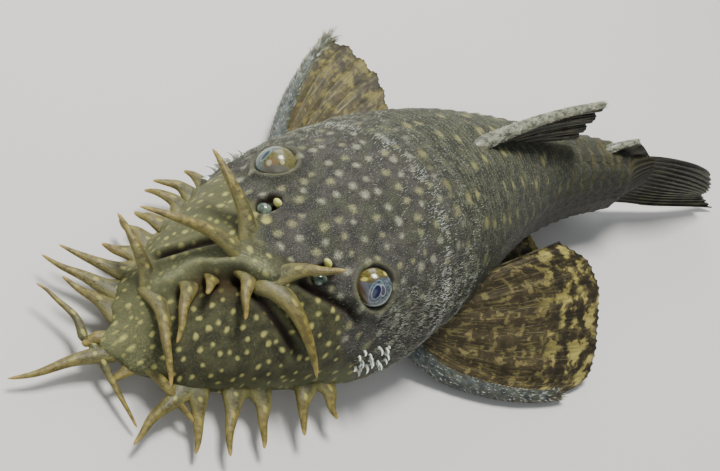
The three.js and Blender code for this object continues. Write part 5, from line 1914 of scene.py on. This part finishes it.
def mouth_shape():
    """Sucker disc: a turned profile, wider than long, with rows of papillae as small cosine bumps and a
    slit with its two tooth rows left in the middle."""
    rows, columns = 60, 120
    profile = np.array(MOUTH_PROFILE)
    length = np.concatenate([[0], np.cumsum(np.linalg.norm(np.diff(profile, axis=0), axis=1))])
    t = np.linspace(0, length[-1], rows)
    wide = np.interp(t, length, profile[:, 0])[:, None]
    high = np.interp(t, length, profile[:, 1])[:, None]
    turn = np.linspace(0, 2 * math.pi, columns + 1)[None, :]
    bumps = 0.1 * np.cos(turn * 30) * np.cos(wide * 40) * smooth(0.42, 0.6, wide) * (high < 0.3)
    station = MOUTH_STATION - MOUTH_LENGTH * wide * np.cos(turn)
    side = MOUTH_WIDTH * wide * np.sin(turn)
    height = np.maximum(high + bumps, 0.0)
    points = place(station, side, height)
    share = np.stack(np.broadcast_arrays(turn / (2 * math.pi), t[:, None] / length[-1]), axis=-1)
    return tube(points[:, :-1], {"OFBake": share * 0.96 + 0.02})


def barbels():
    """Two barbels at the corners of the mouth."""
    shapes = []
    t = np.linspace(0, 1, 10)
    for number, sign in enumerate((-1, 1)):
        start = place(MOUTH_STATION, sign * BARBEL_ROOT[0], BARBEL_ROOT[1])
        out = direction_seen_from_above(sign * BARBEL_HEADING)
        path = start + out * (BARBEL_LENGTH * t)[:, None]
        radii = BARBEL_RADII[0] + (BARBEL_RADII[1] - BARBEL_RADII[0]) * t
        rings, _, strip = swept(path, radii, 10)
        shapes.append(tube(rings, {"OFBake": packed_strips(number, 2, strip)}))
    return together(shapes)


def teeth_shape():
    """Four short rows of fine teeth, two on each jaw, curved towards the mouth's middle."""
    shapes = []
    t = np.linspace(0, 1, 6)
    count = TEETH_IN_ROW
    for jaw in (-1, 1):
        for side_sign in (-1, 1):
            for k in range(count):
                side = side_sign * (0.3 + 2.0 * k / count)
                station = MOUTH_STATION + jaw * (0.75 + 0.35 * k / count)
                start = place(station, side, 0.95)
                end = place(station - jaw * 0.35, side, 0.42)
                middle = place(station + jaw * 0.05, side, 0.6)
                path = bezier(start, middle, end, t)
                rings, _, strip = swept(path, 0.055 + 0 * t, 5, up=(0, 1, 0))
                shapes.append(tube(rings, {"OFBake": packed_strips(len(shapes), 4 * count, strip)}))
    return together(shapes)


# Stage

def stage():
    """Pale floor, soft daylight from above and the left, and a weaker light from the other side."""
    bpy.ops.mesh.primitive_plane_add(size=6)
    floor = bpy.context.object
    floor.name = "floor"
    made, tree, shader = new_material("pale floor", Roughness=0.75)
    where = object_place(tree)
    tone = mixed(noise(where, 14.0, 3), (0.66, 0.655, 0.64), (0.71, 0.705, 0.69))
    painted(shader, tone)
    floor.data.materials.append(made)
    world = bpy.data.worlds.new("soft room")
    world.use_nodes = True
    world.node_tree.nodes["Background"].inputs[0].default_value = (*ROOM_COLOUR, 1)
    world.node_tree.nodes["Background"].inputs[1].default_value = ROOM_LIGHT
    bpy.context.scene.world = world
    for name, spot, size, power, colour in LIGHTS:
        light = bpy.data.lights.new(name, "AREA")
        light.shape = "SQUARE"
        light.size = size
        light.energy = power
        light.color = colour
        lamp = bpy.data.objects.new(name, light)
        bpy.context.scene.collection.objects.link(lamp)
        aim = Vector((0.0, 0.0, 0.01)) - Vector(spot)
        lamp.location = spot
        lamp.rotation_euler = aim.to_track_quat("-Z", "Y").to_euler()


def camera():
    """Looks at the target from the given side and height, tilted about its own axis."""
    azimuth, elevation, roll = (math.radians(value) for value in (VIEW_AZIMUTH, VIEW_ELEVATION, VIEW_ROLL))
    back = Vector((math.sin(azimuth) * math.cos(elevation), math.cos(azimuth) * math.cos(elevation),
                   math.sin(elevation)))
    right = (-back).cross(Vector((0, 0, 1))).normalized()
    up = right.cross(-back)
    tilted_right = math.cos(roll) * right + math.sin(roll) * up
    tilted_up = -math.sin(roll) * right + math.cos(roll) * up
    data = bpy.data.cameras.new("view")
    data.sensor_width = SENSOR
    data.lens = SENSOR * FOCAL_PIXELS / PICTURE_WIDTH
    data.clip_start = 0.005
    seen = bpy.data.objects.new("view", data)
    bpy.context.scene.collection.objects.link(seen)
    turn = Matrix((tilted_right, tilted_up, back)).transposed().to_4x4()
    where = (Vector(VIEW_TARGET) + back * VIEW_DISTANCE) * MM
    seen.matrix_world = Matrix.Translation(where) @ turn
    bpy.context.scene.camera = seen


def odontode_materials():
    """Materials of the odontodes, from the bright ones on the nape to the dark ones on the tail."""
    # bright: near-white, partly the odontodes' pale colour, partly painted glints
    return {"bright": bristle_material("bright odontodes", (0.60, 0.65, 0.58), (0.86, 0.89, 0.78)),
            "head": bristle_material("head odontodes", (0.12, 0.135, 0.105), (0.43, 0.45, 0.36)),
            "trunk": bristle_material("trunk odontodes", (0.11, 0.12, 0.08), (0.32, 0.33, 0.21)),
            "tail": bristle_material("tail odontodes", (0.034, 0.034, 0.016), (0.12, 0.115, 0.052)),
            # dorsal: cream, partly the odontodes' colour, partly painted highlights
            "dorsal": bristle_material("dorsal odontodes", (0.13, 0.13, 0.075), (0.86, 0.84, 0.64))}


def build_body(odontodes):
    """The skin, the tentacles and the odontodes on the body."""
    shape, marks = skin_shape()
    piece("skin", shape, skin_material(), ["head", "trunk", "tail"], marks)
    shape, reach = tentacle_shapes()
    piece("tentacles", shape, tentacle_material(), (), {"reach": reach})
    body_bristles("head_odontodes", 14, 42, 40000, 5, head_chance, odontodes["head"])
    # Nape odontodes in the near-white material: partly painted glints, in patches
    body_bristles("nape_odontodes", 27.5, 45.5, 24000, 8, nape_chance, odontodes["bright"])
    body_bristles("trunk_odontodes", 38, 66, 34000, 6, body_chance, odontodes["trunk"])
    body_bristles("tail_odontodes", 66, 100, 24000, 7, body_chance, odontodes["tail"])
    piece("cheek_hooks", cheek_hooks(), odontodes["bright"])


def build_eyes_and_nostrils():
    """The eyeballs, and the bulb and the flap in each nostril."""
    eyes = {1: near_eye_material(), -1: far_eye_material()}
    glass = plain_material("nostril bulb", (0.035, 0.060, 0.042), (0.14, 0.19, 0.14), 900, 0.12, 0.8)
    flap = plain_material("nostril flap", (0.52, 0.50, 0.10), (0.74, 0.74, 0.24), 1200, 0.4, 0.3)
    for sign, side in ((1, "left"), (-1, "right")):
        piece("eyeball_" + side, eye_shape(sign), eyes[sign], ["eye_" + side])
        bulb, tongue = nostril_shape(sign)
        piece("nostril_bulb_" + side, bulb, glass)
        piece("nostril_flap_" + side, tongue, flap)


def build_paired_fins(odontodes):
    """The pectoral and pelvic fins."""
    paired = fin_material("paired fin membrane", (0.034, 0.026, 0.012), (0.19, 0.16, 0.06),
                          (0.46, 0.40, 0.11), 0.12)
    # Far pectoral's membrane: a darker, more saturated copy of the paired fin colours, painted shade for how
    # that fin looks in the light
    shaded_far_paired = fin_material("shaded far fin membrane", (0.040, 0.032, 0.010), (0.17, 0.145, 0.032),
                              (0.22, 0.19, 0.045), 0.0)
    rays = ray_material("fin ray skin", (0.060, 0.048, 0.026), (0.22, 0.19, 0.10))
    spine = spine_material("blue-grey spine skin", (0.026, 0.038, 0.041), (0.085, 0.105, 0.092), 0.8)
    bright, dull, dark = odontodes["bright"], odontodes["trunk"], odontodes["tail"]
    paired_fin("left_pectoral", LEFT_PECTORAL, 1, "pectoral_fin_left", paired, rays, spine, dark,
               21, (0.3, 0.6), 2000, (bright, 330))
    paired_fin("right_pectoral", RIGHT_PECTORAL, -1, "pectoral_fin_right", shaded_far_paired, rays, spine, dull,
               22, (0.4, 1.9), 1500, (bright, 420))
    for sign, side, seed in ((1, "left", 23), (-1, "right", 24)):
        paired_fin(side + "_pelvic", PELVIC, sign, "pelvic_fin_" + side, paired, rays, spine, dull,
                   seed, (0.2, 0.35), 700)


def build_median_fins(cream):
    """The dorsal, adipose, anal and caudal fins."""
    median = fin_material("tail fin membrane", (0.008, 0.0075, 0.003), (0.045, 0.040, 0.013),
                          (0.060, 0.055, 0.018), 0.0)
    folded = fin_material("folded fin membrane", (0.010, 0.009, 0.006), (0.040, 0.035, 0.016),
                          (0.07, 0.06, 0.025), 0.0)
    dark_rays = ray_material("dark ray skin", (0.020, 0.017, 0.009), (0.085, 0.075, 0.034))
    tail_fin_rays = ray_material("tail ray skin", (0.018, 0.016, 0.006), (0.070, 0.064, 0.022), 0.0)
    silver = spine_material("silver spine skin", (0.045, 0.050, 0.030), (0.30, 0.31, 0.22), 0.0)
    median_fin("dorsal", dorsal_surface(), DORSAL_RAYS, folded, dark_rays)
    path = dorsal_spine_path()
    piece("dorsal_spine", spine_tube(path, DORSAL_SPINE), silver)
    spine_bristles("dorsal_odontodes", path, DORSAL_SPINE, 1150, (0.3, 0.35), 31, cream)
    median_fin("adipose", adipose_surface(), ADIPOSE_RAYS, folded, dark_rays)
    path = adipose_spine_path()
    piece("adipose_spine", spine_tube(path, ADIPOSE_SPINE), silver)
    spine_bristles("adipose_odontodes", path, ADIPOSE_SPINE, 320, (0.25, 0.35), 32, cream)
    median_fin("anal", anal_surface(), len(ANAL_LENGTHS), median, dark_rays)
    median_fin("caudal", caudal_surface(), CAUDAL_RAYS, median, tail_fin_rays)


def build_mouth(teeth):
    """The sucker disc, the barbels and the teeth."""
    lips = lip_material()
    piece("lips", mouth_shape(), lips, ["mouth"])
    piece("mouth_barbels", barbels(), lips)
    piece("teeth", teeth_shape(), teeth)


def build():
    """Makes the fish, piece by piece."""
    odontodes = odontode_materials()
    build_body(odontodes)
    build_eyes_and_nostrils()
    build_paired_fins(odontodes)
    build_median_fins(odontodes["dorsal"])
    build_mouth(odontodes["head"])


build()
stage()
camera()
